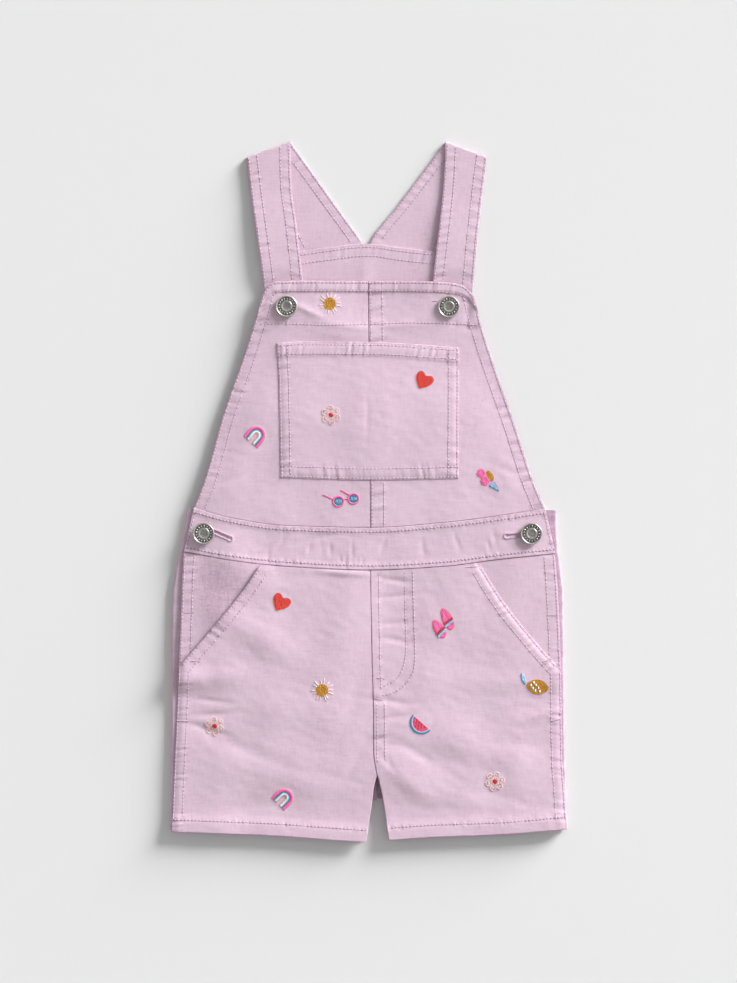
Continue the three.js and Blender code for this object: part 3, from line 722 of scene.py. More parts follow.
TWILL = garment_dyed_twill("garment_dyed_twill", wale_turn=-48)
TWILL_ACROSS = garment_dyed_twill("garment_dyed_twill_cut_across", wale_turn=42)
TOP_THREAD = spun_thread("spun_polyester_thread", "#E4CADC", roughness=0.6)
# painted shade: the needle holes are strands in the cloth's colour, darkened for the shade that falls in
# them
NEEDLE_HOLE = spun_thread("shaded_needle_hole", "#AC8FA8", roughness=0.95)
NICKEL = aged_nickel()

LEG_ROWS = (0.85, 7.3)
EDGE_ROWS = (1.25, 7.3)
SIDE_ROWS = (1.25, 7.7)
BIB_TOP_ROWS = (1.25, 6.9)
CENTRE_ROWS = (1.5, 9.7)
POCKET_TOP_ROWS = (2.1, 8.4)
POCKET_FOOT_ROWS = (1.4, 8.3)
BACK_TOP_ROWS = (2.5, 8.7)
BELOW_FLY_ROWS = (2.2, 7.8)
LEG_HEM_FADE = 8  # the leg hems' inner edge is pressed soft over this length

# How much lower the edges lie that are sewn down
PRESSED = 0.26
LAPPED = 0.18
PRESSED_OPENING, PRESSED_OUTSEAM = 0.35, 0.2


def hemmed(height, from_edge, step=HEM_STEP):
    """The cloth's thickness with a turned hem, which ends at a height from the edge."""
    return CLOTH + HEM_EXTRA * (1 - ease(height, height + step, from_edge))


def inner_front(side):
    """The edge of a front leg at the centre seam and, below the crotch, at the inseam."""
    shift = OUTWARD[side] * SEAM_GAP / 2
    return lambda y: np.where(y > CROTCH_FRONT, centre_front(y) + shift, inseam[side](y))


def in_order(side, outer, inner):
    """A piece's two side lines, the left one first."""
    return (outer, inner) if side == "left" else (inner, outer)


FLY_INNER = curved((25.1, -56), (25.6, -84), (26.3, -108.5), (25.2, -119), (22.0, -127.5),
                   (16.5, -133), (10.4, -136))
FLY_OUTER = curved((30.8, -56), (31.8, -90), (32.5, -115), (31.6, -124), (28.4, -131),
                   (21.1, -138.2), (14, -141.5), (7.6, -142.8))


def leg_panel(side):
    """A front leg, cut away along its slant pocket. The fly's rows are on the right one."""
    slant_y = slant_end[side]
    inward = -OUTWARD[side]
    outer = lambda y: np.where(y > slant_y, slant[side](y), front_side[side](y))
    start, end = in_order(side, outer, inner_front(side))
    waist = lambda x: waist_bottom(x) - SEAM_GAP
    hem = cross_line(leg_bottom[side], LEG_BOTTOM_Y[side][0][0], LEG_BOTTOM_Y[side][-1][0])
    opening = down_line(slant[side], SLANT_X[side][0][0], slant_y)
    outseam = down_line(front_side[side], slant_y, leg_bottom[side](front_side[side](-237.0)))
    centre = down_line(centre_front, -55, CROTCH_FRONT)
    leg_inner = down_line(inseam[side], CROTCH_FRONT, leg_bottom[side](inseam[side](-244.0)))
    seams = [
        Seam(hem, (HEM_ROW,), 11, short=(1.5, 1.5), pucker=0.16, wave=4.6, groove=0.1, dip=2.0),
        Seam(opening, EDGE_ROWS, 12 + len(side), inward, (3, 1), tint=-0.2),
        Seam(outseam, LEG_ROWS, 21 + len(side), inward, (4, HEM_ROW), pucker=0.16, dip=1.3),
    ]
    if side == "right":
        fly = down_line(centre_front, -56, -139)
        seams += [
            Seam(FLY_INNER, (0.0,), 31, short=(0, 0), pucker=0.05, pad=0.0),
            Seam(FLY_OUTER, (0.0,), 32, short=(0, 0), pucker=0.06, pad=0.1),
            Seam(fly, (5.7,), 33, pucker=0.05, wave=6, pad=0.12, dip=1.2),
            Seam(down_line(centre_front, -147, -190), BELOW_FLY_ROWS, 34, pucker=0.09, wave=7, pad=0.2),
        ]
    return Panel(
        f"front_leg_{side}_cloth", start, end, waist, leg_bottom[side], (132, 192), 1.2,
        under=lambda x, y: front_under(x, y) + facing_lift(side, x, y),
        thick=lambda x, y: hemmed(LEG_HEM - LEG_HEM_FADE / 4, y - leg_bottom[side](x), LEG_HEM_FADE),
        seams=seams, rim=[hem, opening, outseam, centre, leg_inner],
        settled={
            "left": [(outseam, PRESSED)],
            "right": [(opening, PRESSED_OPENING), (outseam, PRESSED_OUTSEAM)],
        }[side],
    )


PAINTED_SHADE_BESIDE_EDGES = -0.9  # how dark the painted shade is in corners and beside edges that stand over the cloth


def facing_panel(side):
    """The facing that shows in a slant pocket's opening and goes on under the leg."""
    slant_y = slant_end[side]
    inner = lambda y: slant[side](np.maximum(y, slant_y)) - OUTWARD[side] * FACING_LAP
    start, end = in_order(side, front_side[side], inner)
    foot = slant_y - 6
    outseam = down_line(front_side[side], -44, foot)
    panel = Panel(
        f"slant_pocket_facing_{side}_cloth", start, end, lambda x: waist_bottom(x) - SEAM_GAP,
        lambda x: foot + 0 * x, (40, 84), 1.3, under=front_under,
        thick=lambda x, y: CLOTH + 0 * x,
        seams=[Seam(outseam, SIDE_ROWS, 41 + len(side), -OUTWARD[side], (1, 8))],
        rim=[outseam],
        creases=FACING_RIDGES[side],
    )

    def painted_shade_under_leg_edge(x, y):
        """Painted shade where the leg's edge stands over the facing."""
        return 0.0, PAINTED_SHADE_BESIDE_EDGES * bell(x, -103, 19) * bell(y, -68, 26)

    if side == "left":
        panel.dents.append(painted_shade_under_leg_edge)
    return panel


BIB_FACING_ROW = curved((-78, 116.4), (-60, 117.2), (-30, 116.2), (0, 116.8), (30, 117.8), (60, 117),
                        (78, 116.2))


def bib_panel(side):
    """Half of the front bib, with its turned top hem."""
    half_gap = 0.1
    inner = lambda y: centre_front(y) + OUTWARD[side] * half_gap
    start, end = in_order(side, bib_side[side], inner)
    top_edge = cross_line(bib_top, BIB_TOP_Y[0][0], BIB_TOP_Y[-1][0])
    armhole = down_line(bib_side[side], 137, -11.5)

    def half(path):
        """What a row along the whole bib leaves free at its ends to be this side's half of it."""
        near, far = 1.5, path.length / 2 + 0.5
        return (near, far) if side == "left" else (far, near)

    seams = [
        Seam(armhole, SIDE_ROWS, 51 + len(side), -OUTWARD[side], (1.5, 1), pucker=0.16, wave=4.8, dip=1.3,
             tint=-0.32),
        Seam(top_edge, BIB_TOP_ROWS, 53, -1, half(top_edge), wave=5.5, dip=1.9),
        Seam(BIB_FACING_ROW, (0.0,), 54, 1, half(BIB_FACING_ROW), pucker=0.05, pad=0.0),
    ]
    if side == "right":
        for from_y, to_y in ((147, 104), (7, -25)):
            centre = down_line(centre_front, from_y, to_y)
            seams.append(Seam(centre, CENTRE_ROWS, 55, pucker=0.09, wave=6, pad=0.12))
    return Panel(
        f"front_bib_{side}_cloth", start, end, bib_top, lambda x: waist_top(x) + SEAM_GAP,
        (98, 162), 1.2, under=front_under,
        thick=lambda x, y: hemmed(BIB_HEM, bib_top(x) - y), seams=seams,
        rim=[top_edge, armhole, down_line(inner, 147, -25)],
    )


BAND_CLEAR = 0.15  # how far the waistband stands off what lies under it
BAND_HOLLOW = 0.25  # how much thinner it is between its seams
BAND_SEAM = (3.2, 5.2)  # in from an edge, where it gets thinner


def waistband_panel():
    """The front waistband, a little thinner between its two seams."""
    start = line(((-11, -122.1), (-42, -129.2)))
    end = line(((-12, 123.5), (-43.4, 130.5)))
    upper = cross_line(waist_top, -122.1, 123.5)
    lower = cross_line(waist_bottom, -129.2, 130.5)
    first, last = down_line(start, -11.3, -42), down_line(end, -12.3, -43.4)

    def thick(x, y):
        from_edge = np.minimum(waist_top(x) - y, y - waist_bottom(x))
        return BAND_SHOWN - BAND_HOLLOW * ease(*BAND_SEAM, from_edge)

    seams = [
        Seam(upper, (2.8,), 61, -1, pucker=0.12, wave=3.6, pad=0.0, groove=0.1, dip=2.4),
        Seam(lower, (3.1,), 62, 1, pucker=0.12, wave=3.6, pad=0.0, groove=0.1, dip=2.4),
        Seam(first, (1.6,), 63, 1, (3.2, 3.4), pucker=0.05, pad=0.0),
        Seam(last, (1.6,), 64, -1, (3.2, 3.4), pucker=0.05, pad=0.0),
    ]
    return Panel(
        "front_waistband_cloth", start, end, waist_top, waist_bottom, (254, 31), 1.05,
        under=lambda x, y: front_under(x, y) + BAND_CLEAR, thick=thick, seams=seams,
        rim=[upper, lower, first, last],
        creases=BAND_CREASES,
    )


POCKET_HEM_EXTRA = 0.35
POCKET_HEM_STEP = (POCKET_HEM - 0.2, POCKET_HEM + 0.4)


def pocket_panel():
    """The patch pocket on the bib, with its turned top hem."""
    start, end = line(POCKET_LEFT_X), line(POCKET_RIGHT_X)
    top_edge = cross_line(pocket_top, -64, 63.3)
    foot = cross_line(pocket_bottom, -61.6, 62.9)
    left, right = down_line(start, 103.6, 9.4), down_line(end, 100.6, 8.8)
    seams = [
        Seam(top_edge, POCKET_TOP_ROWS, 71, -1, wave=4.4, pad=0.0, dip=1.6),
        Seam(foot, POCKET_FOOT_ROWS, 72, 1, wave=5.0, dip=1.4),
        Seam(left, EDGE_ROWS, 73, 1, wave=5.0),
        Seam(right, EDGE_ROWS, 74, -1, wave=5.0),
    ]

    def thick(x, y):
        from_edge = pocket_top(x) - y
        return POCKET_SHOWN + POCKET_HEM_EXTRA * (1 - ease(*POCKET_HEM_STEP, from_edge))

    def under_hem(x, y):
        """Painted shade in the corner below the turned hem."""
        return 0.0, PAINTED_SHADE_BESIDE_EDGES * bell(pocket_top(x) - y - POCKET_HEM, 0.5, 0.5)

    panel = Panel(
        "bib_pocket_cloth", start, end, pocket_top, pocket_bottom, (126, 95), 1.2,
        under=lambda x, y: front_under(x, y) + CLOTH, thick=thick, seams=seams,
        rim=[top_edge, foot, left, right],
        settled=[(edge, LAPPED) for edge in (left, foot, right, top_edge)],
        creases=POCKET_CREASES,
    )
    panel.dents.append(under_hem)
    return panel


def back_bib_panel():
    """The back bib, which shows between the straps and lies under the front bib."""
    start, end = line(BACK_BIB_X["left"]), line(BACK_BIB_X["right"])
    top_edge = cross_line(back_top, -50.8, 51.4)
    lap, slope = 6, 56  # over these lengths it lies on the straps' ends, and comes down off them

    def under(x, y):
        return BACK_HEM_LIFT * (1 - ease(lap, lap + slope, back_top(x) - y))

    left, right = down_line(start, 167, 60), down_line(end, 167, 60)
    seams = [Seam(top_edge, BACK_TOP_ROWS, 81, -1, (2, 2), pucker=0.07, wave=5.0)]
    return Panel(
        "back_bib_cloth", start, end, back_top, lambda x: back_waist(x) + SEAM_GAP, (200, 196), 1.7,
        under=under, thick=lambda x, y: CLOTH + 0 * x, seams=seams, rim=[top_edge, left, right],
        creases=BACK_BIB_CREASES,
    )


def back_leg(side):
    """The back of a leg: flat, round the side fold and back over itself under the front."""
    edge = OUTWARD[side]
    set_in, shorter = 1.5, 1.0  # than the front leg, at its inseam and its hem
    wide, long = 140, 226
    shift = edge * SEAM_GAP / 2
    inner = lambda y: np.where(y > CROTCH_BACK, centre_back(y) + shift, inseam[side](y) + edge * set_in)
    bend = lambda y: side_fold[side](y) - edge * FOLD_RADIUS
    bottom = lambda x: leg_bottom[side](x) + shorter
    down = spread(long, 1.9)
    uneven = ripple(90 + len(side), 9.0)

    def points(outer_line, across):
        u, v = np.meshgrid(across, down)
        return between_lines(u, v, inner, outer_line, back_waist, bottom, -26.0)

    flat_x, flat_y = points(bend, np.r_[spread(wide, 3.2)[:-1], 1.0])
    thick = CLOTH + BACK_HEM_EXTRA * (1 - ease(LEG_HEM, LEG_HEM + HEM_STEP, flat_y - bottom(flat_x)))
    face = [np.stack([flat_x, flat_y, 0 * flat_x], axis=-1)]
    inside = [np.stack([flat_x, flat_y, thick], axis=-1)]
    corner_x, corner_y = points(bend, np.array([1.0]))
    wave = 0.12 * uneven(corner_y)
    for angle in np.radians(np.linspace(-90, 90, 13)[1:]):
        for group, radius in ((face, FOLD_RADIUS), (inside, FOLD_RADIUS - CLOTH)):
            out_x = corner_x + edge * (radius + wave) * math.cos(angle)
            height = FOLD_RADIUS + radius * math.sin(angle) + 0 * corner_x
            group.append(np.stack([out_x, corner_y, height], axis=-1))
    for share in np.linspace(0, 1, 9)[1:]:
        back_x, back_y = points(lambda y: bend(y) - edge * RETURN_WIDTH * share, np.array([1.0]))
        level = 0 * back_x
        face.append(np.stack([back_x, back_y, level + 2 * FOLD_RADIUS], axis=-1))
        inside.append(np.stack([back_x, back_y, level + 2 * FOLD_RADIUS - CLOTH], axis=-1))
    outer, inward = np.concatenate(face, axis=1), np.concatenate(inside, axis=1)
    # the right fold faces the window, so painted shade darkens it, or it would glare
    painted_fold_shade = {"left": 0.0, "right": -1.4}[side]
    wear = 0.25 * np.tile(uneven(outer[:, :1, 1]), (1, outer.shape[1])) + painted_fold_shade
    return wall(f"back_leg_{side}_cloth", outer, inward, wear, TWILL, flip=side == "right")


class StrapRun:
    """A strap from its end under the back bib, round the shoulder fold and down to the front bib."""

    # the relief of its sewn edges, softer than a seam's because the strap is doubled
    pucker, pucker_half, pucker_shade, groove = 0.11, 4.4, 0.5, 0.07
    pad, pad_end = 0.05, (7.6, 8.9)
    fold_gap = 0.4  # between the two layers at the shoulder
    settled_after = 9  # the strap lies as its table says from this far past the fold

    def __init__(self, side):
        self.side = side
        back = [row + (0.0,) for row in STRAP_BACK[side]] + [SHOULDER[side] + (0.0,)]
        front = [SHOULDER[side] + (1.8,)] + list(STRAP_FRONT[side])
        self.back, self.front = self.lines(back), self.lines(front)
        out_x, out_y, in_x, in_y = SHOULDER[side]
        up = np.array([-(in_y - out_y), in_x - out_x])
        self.up = up / np.hypot(*up) * (1 if up[1] > 0 else -1)
        self.ripples = [ripple(101 + i + len(side), 4.4) for i in range(2)]

    @staticmethod
    def lines(rows):
        rows = np.array(rows, float)
        middle = (rows[:, :2] + rows[:, 2:4]) / 2
        marks = np.r_[0, np.cumsum(np.hypot(*np.diff(middle, axis=0).T))]
        return marks[-1], [line(list(zip(marks, column))) for column in rows.T]

    @staticmethod
    def place(part, along, across):
        """The x, y and underside of a place on a part, and the strap's width there."""
        _, (out_x, out_y, in_x, in_y, under) = part
        a, b, c, d = out_x(along), out_y(along), in_x(along), in_y(along)
        width = np.hypot(c - a, d - b)
        return a + (c - a) * across, b + (d - b) * across, under(along), width

    def relief(self, along, across, width, grooved):
        """The padded, puckered edges of the doubled strip."""
        height, wear = 0.0, 0.0
        for far, wave in zip((across * width, (1 - across) * width), self.ripples):
            middle = sum(EDGE_ROWS) / 2
            waves = wave(along + 0.2 * far) * np.exp(-(((far - middle) / self.pucker_half) ** 4))
            sunk = drawn_in(EDGE_ROWS, far)
            drop, darker = turned_edge(far, along)
            height = height + self.pucker * waves + self.pad * (1 - ease(*self.pad_end, far)) - drop
            if grooved:
                height = height - self.groove * sunk
            # paler pucker ridges, partly worn and partly painted light; painted shade along the rows and
            # the turned edges
            wear = wear + self.pucker_shade * waves - ROW_SHADE * sunk + darker
        return height, wear

    def top(self, part, along, across, grooved=True):
        x, y, under, width = self.place(part, along, across)
        height, wear = self.relief(along, across, width, grooved)
        return x, y, under + STRAP + height, wear

    def build(self):
        across = spread(31, 1.1)
        faces, insides, wear_and_painted_shade_rows = [], [], []
        u, v = np.meshgrid(across, spread(self.back[0], 1.2))
        x, y, z, wear = self.top(self.back, v * self.back[0], u)
        faces.append(np.stack([x, y, 0 * z], axis=-1))
        insides.append(np.stack([x, y, z], axis=-1))
        wear_and_painted_shade_rows.append(wear)
        reach = STRAP + self.fold_gap / 2
        at_x, at_y, _, _ = self.place(self.front, 0.0, across)
        for angle in np.radians(np.linspace(-90, 90, 17)):
            level = 0 * at_x + reach
            for group, radius in ((faces, reach), (insides, self.fold_gap / 2)):
                move = radius * math.cos(angle) - reach
                rise = radius * math.sin(angle)
                points = [at_x + self.up[0] * move, at_y + self.up[1] * move, level + rise]
                group.append(np.stack(points, axis=-1)[None])
            # painted shade, darkest round the fold, so that its lit edge doesn't glare
            painted_fold_shade = -0.5 - 0.8 * math.cos(angle)
            wear_and_painted_shade_rows.append(np.full((1, len(across)), painted_fold_shade))
        u, v = np.meshgrid(across, spread(self.front[0], 1.2))
        x, y, z, wear = self.top(self.front, v * self.front[0], u)
        under = self.place(self.front, v * self.front[0], u)[2]
        settle = ease(0, self.settled_after, v * self.front[0])
        z = 2 * reach + (z - 2 * reach) * settle
        inner_level = reach + self.fold_gap / 2
        under = inner_level + (under - inner_level) * settle
        x, y = x - self.up[0] * reach * (1 - settle), y - self.up[1] * reach * (1 - settle)
        faces.append(np.stack([x, y, z], axis=-1)[1:])
        insides.append(np.stack([x, y, under], axis=-1)[1:])
        wear_and_painted_shade_rows.append(wear[1:])
        face, inside = np.concatenate(faces), np.concatenate(insides)
        shade = np.concatenate(wear_and_painted_shade_rows)
        return wall(f"strap_{self.side}_cloth", face, inside, shade, TWILL, flip=self.side == "right")

    def rows(self, part, start, end):
        """The stitched rows of a part, as lists of points on its upper face."""
        along = np.arange(start, end, 1.0)
        width = self.place(part, along, 0.5)[3]
        found = []
        for inset in EDGE_ROWS:
            for across in (inset / width, 1 - inset / width):
                x, y, z, _ = self.top(part, along, across, grooved=False)
                found.append(np.column_stack([x, y, z]))
        return found


legs = {side: leg_panel(side) for side in SIDES}
facings = {side: facing_panel(side) for side in SIDES}
bibs = {side: bib_panel(side) for side in SIDES}
waistband = waistband_panel()
pocket = pocket_panel()
back_bib = back_bib_panel()
straps = {side: StrapRun(side) for side in SIDES}


def half_of(panels, x, y):
    """The left or right panel of a pair, by which side of the centre seam a place is on."""
    return panels["left" if x < centre_front(y) else "right"]


def panel_at(x, y):
    """The piece that lies on top at a motif's place."""
    if -62 < x < 62 and 10 < y < 100:
        return pocket
    return half_of(bibs if y > -20 else legs, x, y)


def group_tree(name, sizes, materials):
    """An empty node tree over a mesh of lines or points, with named sizes and materials."""
    tree = bpy.data.node_groups.new(name, "GeometryNodeTree")
    kinds = [("Lines", "Geometry")] + [(label, "Float") for label in sizes] + [("Seed", "Int")]
    for label, kind in kinds + [(label, "Material") for label in materials]:
        tree.interface.new_socket(label, in_out="INPUT", socket_type=f"NodeSocket{kind}")
    tree.interface.new_socket("Threads", in_out="OUTPUT", socket_type="NodeSocketGeometry")
    return tree, tree.nodes.new("NodeGroupInput").outputs


def uneven_size(tree, size, low, high, seed):
    """A size, times a random factor for each stitch."""
    limits = {"Min": low, "Max": high, "Seed": seed}
    factor = add_node(tree, "FunctionNodeRandomValue", "Value", limits, data_type="FLOAT")
    return add_node(tree, "ShaderNodeMath", 0, {0: size, 1: factor}, operation="MULTIPLY")


def lay_strands(tree, points, shape, turn, size, material):
    """Copies of a small rounded shape on the points, made real and given their material."""
    segments, rings = shape
    sphere = {"Segments": segments, "Rings": rings, "Radius": 0.5}
    strand = add_node(tree, "GeometryNodeMeshUVSphere", "Mesh", sphere)
    scale = add_node(tree, "ShaderNodeCombineXYZ", "Vector", dict(zip("XYZ", size)))
    laid = add_node(
        tree, "GeometryNodeInstanceOnPoints", "Instances",
        {"Points": points, "Instance": strand, "Rotation": turn, "Scale": scale},
    )
    solid = add_node(tree, "GeometryNodeRealizeInstances", "Geometry", {"Geometry": laid})
    smooth = add_node(tree, "GeometryNodeSetShadeSmooth", "Geometry", {"Geometry": solid})
    finish = {"Geometry": smooth, "Material": material}
    return add_node(tree, "GeometryNodeSetMaterial", "Geometry", finish)


def row_tree():
    """A stitch every pitch along each line, and a shaded needle hole between each two. The holes
    are as large as the line's dip says, and slant as the thread pulls them."""
    tree, given = group_tree("stitches_along_rows", ("Pitch", "Width", "Height"), ("Thread", "Hole"))
    seed = given["Seed"]
    curve = add_node(tree, "GeometryNodeMeshToCurve", "Curve", {"Mesh": given["Lines"]})
    points = add_node(
        tree, "GeometryNodeResampleCurve", "Curve", {"Curve": curve, "Length": given["Pitch"]},
        mode="LENGTH",
    )
    way = add_node(tree, "GeometryNodeInputTangent", "Tangent")
    turn = add_node(
        tree, "FunctionNodeAlignRotationToVector", "Rotation", {"Vector": way}, axis="X", pivot_axis="Z"
    )
    dip = add_node(
        tree, "GeometryNodeInputNamedAttribute", "Attribute", {"Name": "dip"}, data_type="FLOAT"
    )
    hole = add_node(tree, "ShaderNodeMath", 0, {0: dip, 1: given["Width"]}, operation="MULTIPLY")
    # a stitch's length, half a pitch, and a hole's width and height
    reach, half_pitch, hole_width, hole_height = (
        add_node(tree, "ShaderNodeMath", 0, {0: size, 1: share}, operation="MULTIPLY")
        for size, share in (
            (given["Pitch"], 0.66), (given["Pitch"], 0.5), (hole, 0.85), (given["Height"], 0.45),
        )
    )
    width = uneven_size(tree, given["Width"], 0.85, 1.15, seed)
    stitches = lay_strands(
        tree, points, (6, 4), turn, (reach, width, given["Height"]), given["Thread"]
    )
    step = add_node(
        tree, "ShaderNodeVectorMath", "Vector", {0: way, "Scale": half_pitch}, operation="SCALE"
    )
    between = add_node(
        tree, "GeometryNodeSetPosition", "Geometry", {"Geometry": points, "Offset": step}
    )
    limits = {"Min": -1.15, "Max": -0.6, "Seed": seed}
    slant_angle = add_node(tree, "FunctionNodeRandomValue", "Value", limits, data_type="FLOAT")
    slant_turn = add_node(tree, "ShaderNodeCombineXYZ", "Vector", {"Z": slant_angle})
    slanting = add_node(tree, "FunctionNodeEulerToRotation", "Rotation", {"Euler": slant_turn})
    hole_length = uneven_size(tree, hole, 1.3, 2.0, seed)
    holes = lay_strands(
        tree, between, (5, 3), slanting, (hole_length, hole_width, hole_height), given["Hole"]
    )
    joined = add_node(tree, "GeometryNodeJoinGeometry", "Geometry", {"Geometry": [stitches, holes]})
    add_node(tree, "NodeGroupOutput", inputs={"Threads": joined})
    return tree


def strand_tree():
    """One strand at each point, as long and as turned as the point's lay says."""
    tree, given = group_tree("laid_strands", ("Width", "Height"), ("Thread",))
    lay = add_node(
        tree, "GeometryNodeInputNamedAttribute", "Attribute", {"Name": "lay"}, data_type="FLOAT_VECTOR"
    )
    turn = add_node(
        tree, "FunctionNodeAlignRotationToVector", "Rotation", {"Vector": lay}, axis="X", pivot_axis="Z"
    )
    reach = add_node(tree, "ShaderNodeVectorMath", "Value", {0: lay}, operation="LENGTH")
    width = uneven_size(tree, given["Width"], 0.88, 1.12, given["Seed"])
    strands = lay_strands(
        tree, given["Lines"], (6, 5), turn, (reach, width, given["Height"]), given["Thread"]
    )
    add_node(tree, "NodeGroupOutput", inputs={"Threads": strands})
    return tree


def grow(name, mesh, tree, **sizes):
    """Runs a node tree on a mesh and keeps the result as a plain piece."""
    seed_piece = add_object(f"{name}_lines", mesh)
    modifier = seed_piece.modifiers.new(name, "NODES")
    modifier.node_group = tree
    identifiers = {
        item.name: item.identifier for item in tree.interface.items_tree if item.in_out == "INPUT"
    }
    for label, value in sizes.items():
        modifier[identifiers[label]] = value
    evaluated = seed_piece.evaluated_get(bpy.context.evaluated_depsgraph_get())
    result = bpy.data.meshes.new_from_object(evaluated)
    bpy.data.objects.remove(seed_piece)
    result.name = name
    return add_object(name, result)


ROW_TREE = row_tree()
STRAND_TREE = strand_tree()


def line_mesh(name, runs):
    """A mesh of edges along lists of points in millimetres, each run with its dip."""
    mesh = bpy.data.meshes.new(name)
    points, edges, dips = [], [], []
    for run, dip in runs:
        first = len(points)
        points += [tuple(point * MM) for point in run]
        edges += [(i, i + 1) for i in range(first, len(points) - 1)]
        dips += [dip] * len(run)
    mesh.from_pydata(points, edges, [])
    write_points(mesh, "dip", "FLOAT", "value", dips)
    return mesh


STITCH_HEIGHT = 0.46
STRAP_DIP = 1.5  # how large the straps' needle holes are, in widths of the thread


def topstitching():
    """Every row of stitches on the panels and the straps."""
    runs = []
    panels = [back_bib, waistband, pocket]
    for pair in (legs, facings, bibs):
        panels += pair.values()
    for panel in panels:
        for seam in panel.seams:
            for path in seam.stitched():
                x, y = path.at(np.arange(0, path.length, 1.0))
                z, _ = panel.surface(x, y, grooved=False)
                runs.append((np.column_stack([x, y, z]), seam.dip))
    for strap in straps.values():
        under_hem, under_button = 9, 26
        back, front = strap.back[0], strap.front[0]
        found = strap.rows(strap.back, under_hem, back - 2)
        found += strap.rows(strap.front, 2, front - under_button)
        runs += [(run, STRAP_DIP) for run in found]
    return grow(
        "topstitching", line_mesh("topstitching", runs), ROW_TREE, Pitch=STITCH * MM,
        Width=THREAD * MM, Height=STITCH_HEIGHT * MM, Seed=5, Thread=TOP_THREAD, Hole=NEEDLE_HOLE,
    )


def strand_piece(name, places, lays, width, height, seed, material):
    """A piece of separate strands, from their middles and the ways they lie, in millimetres."""
    mesh = bpy.data.meshes.new(name)
    mesh.from_pydata([tuple(place) for place in places * MM], [], [])
    write_points(mesh, "lay", "FLOAT_VECTOR", "vector", (lays * MM).ravel())
    return grow(name, mesh, STRAND_TREE, Width=width * MM, Height=height * MM, Seed=seed, Thread=material)


class Needlework:
    """Strands of embroidery, gathered by the colour of their thread."""

    def __init__(self):
        self.strands = {}

    def add(self, colour, panel, starts, ends, level):
        starts, ends = np.atleast_2d(starts), np.atleast_2d(ends)
        middle = (starts + ends) / 2
        z, _ = panel.surface(middle[:, 0], middle[:, 1])
        place = np.column_stack([middle, z + FLATTENED * level])
        lay = np.column_stack([ends - starts, np.zeros(len(starts))])
        self.strands.setdefault(colour, []).append((place, lay))

    def build(self, prefix, pitch):
        pieces = []
        for i, (colour, groups) in enumerate(sorted(self.strands.items())):
            places = np.concatenate([place for place, _ in groups])
            lays = np.concatenate([lay for _, lay in groups])
            pieces.append(strand_piece(
                f"{prefix}_{colour}", places, lays, STRAND_SPREAD * pitch, pitch, 20 + i, THREADS[colour]
            ))
        return pieces


PITCH = 0.42  # from one strand of satin stitch to the next
STRAND_SPREAD = 1.3  # a strand's width, in pitches
FLATTENED = 0.6  # how much of its height each layer of thread keeps, pressed into the cloth


def turned(points, turn, centre=(0, 0)):
    """Points turned by degrees and moved to a centre."""
    angle = math.radians(turn)
    x, y = np.atleast_2d(points).T
    return np.column_stack([
        x * math.cos(angle) - y * math.sin(angle) + centre[0],
        x * math.sin(angle) + y * math.cos(angle) + centre[1],
    ])


def fill(needle, colour, panel, outline, lay_turn, level=0.2, pitch=PITCH, longest=3.2):
    """Fills a closed outline with parallel strands at an angle."""
    overlap, stagger = 0.14, 0.9
    flat = turned(outline, -lay_turn)
    low, high = flat[:, 1].min(), flat[:, 1].max()
    starts, ends = [], []
    closed = np.vstack([flat, flat[:1]])
    (x0, y0), (x1, y1) = closed[:-1].T, closed[1:].T
    for i, y in enumerate(np.arange(low + pitch / 2, high, pitch)):
        crossing = (y0 <= y) != (y1 <= y)
        cuts = np.sort(x0[crossing] + (y - y0[crossing]) / (y1 - y0)[crossing] * (x1 - x0)[crossing])
        for a, b in zip(cuts[::2], cuts[1::2]):
            parts = max(1, math.ceil((b - a) / longest))
            marks = np.linspace(a, b, parts + 1)
            if parts > 1:
                marks[1:-1] += (stagger if i % 2 else -stagger) * longest / 4
            starts += [(p - overlap, y) for p in marks[:-1]]
            ends += [(q + overlap, y) for q in marks[1:]]
    needle.add(colour, panel, turned(starts, lay_turn), turned(ends, lay_turn), level)


def stitch_path(points, close):
    """The path that a row of strands follows, closed or not."""
    points = np.array(points, float)
    return Path(np.vstack([points, points[:1]]) if close else points)


def satin(needle, colour, panel, points, width, level=0.25, pitch=PITCH, close=False):
    """Strands laid across a path, side by side along it."""
    path = stitch_path(points, close)
    along = np.arange(0, path.length, pitch)
    x, y = path.at(along)
    dx, dy = path.at(along + 0.3) - path.at(along - 0.3)
    size = np.hypot(dx, dy)
    lean = 0.35
    out_x = (-dy + lean * dx) / size * width / 2
    out_y = (dx + lean * dy) / size * width / 2
    starts, ends = np.column_stack([x - out_x, y - out_y]), np.column_stack([x + out_x, y + out_y])
    needle.add(colour, panel, starts, ends, level)


def run_stitch(needle, colour, panel, points, level=0.3, pitch=1.1, close=False):
    """A single line of short strands along a path."""
    path = stitch_path(points, close)
    marks = np.linspace(0, path.length, max(2, round(path.length / pitch) + 1))
    at = path.at(marks).T
    needle.add(colour, panel, at[:-1], at[1:], level)


def edged(needle, colour, panel, outline, lay_turn, level, edge_level):
    """A filled outline with a line of short strands round it."""
    fill(needle, colour, panel, outline, lay_turn, level)
    run_stitch(needle, colour, panel, outline, edge_level, close=True)


def dots(needle, colour, panel, places, turn, centre, size=0.6, level=0.66):
    """Small knots at places round a motif's centre."""
    for place in places:
        at = turned(place, turn, centre)[0]
        fill(needle, colour, panel, turned(ring(size, 8, 1.5), 0, at), turn + 50, level, 0.38)


def ring(radius, count=28, squash=1.0, start=0.0, sweep=360.0):
    """Points round a circle or a part of it, which may be squashed along y."""
    angles = np.radians(np.linspace(start, start + sweep, count, endpoint=sweep < 360))
    return np.column_stack([radius * np.cos(angles), radius * squash * np.sin(angles)])


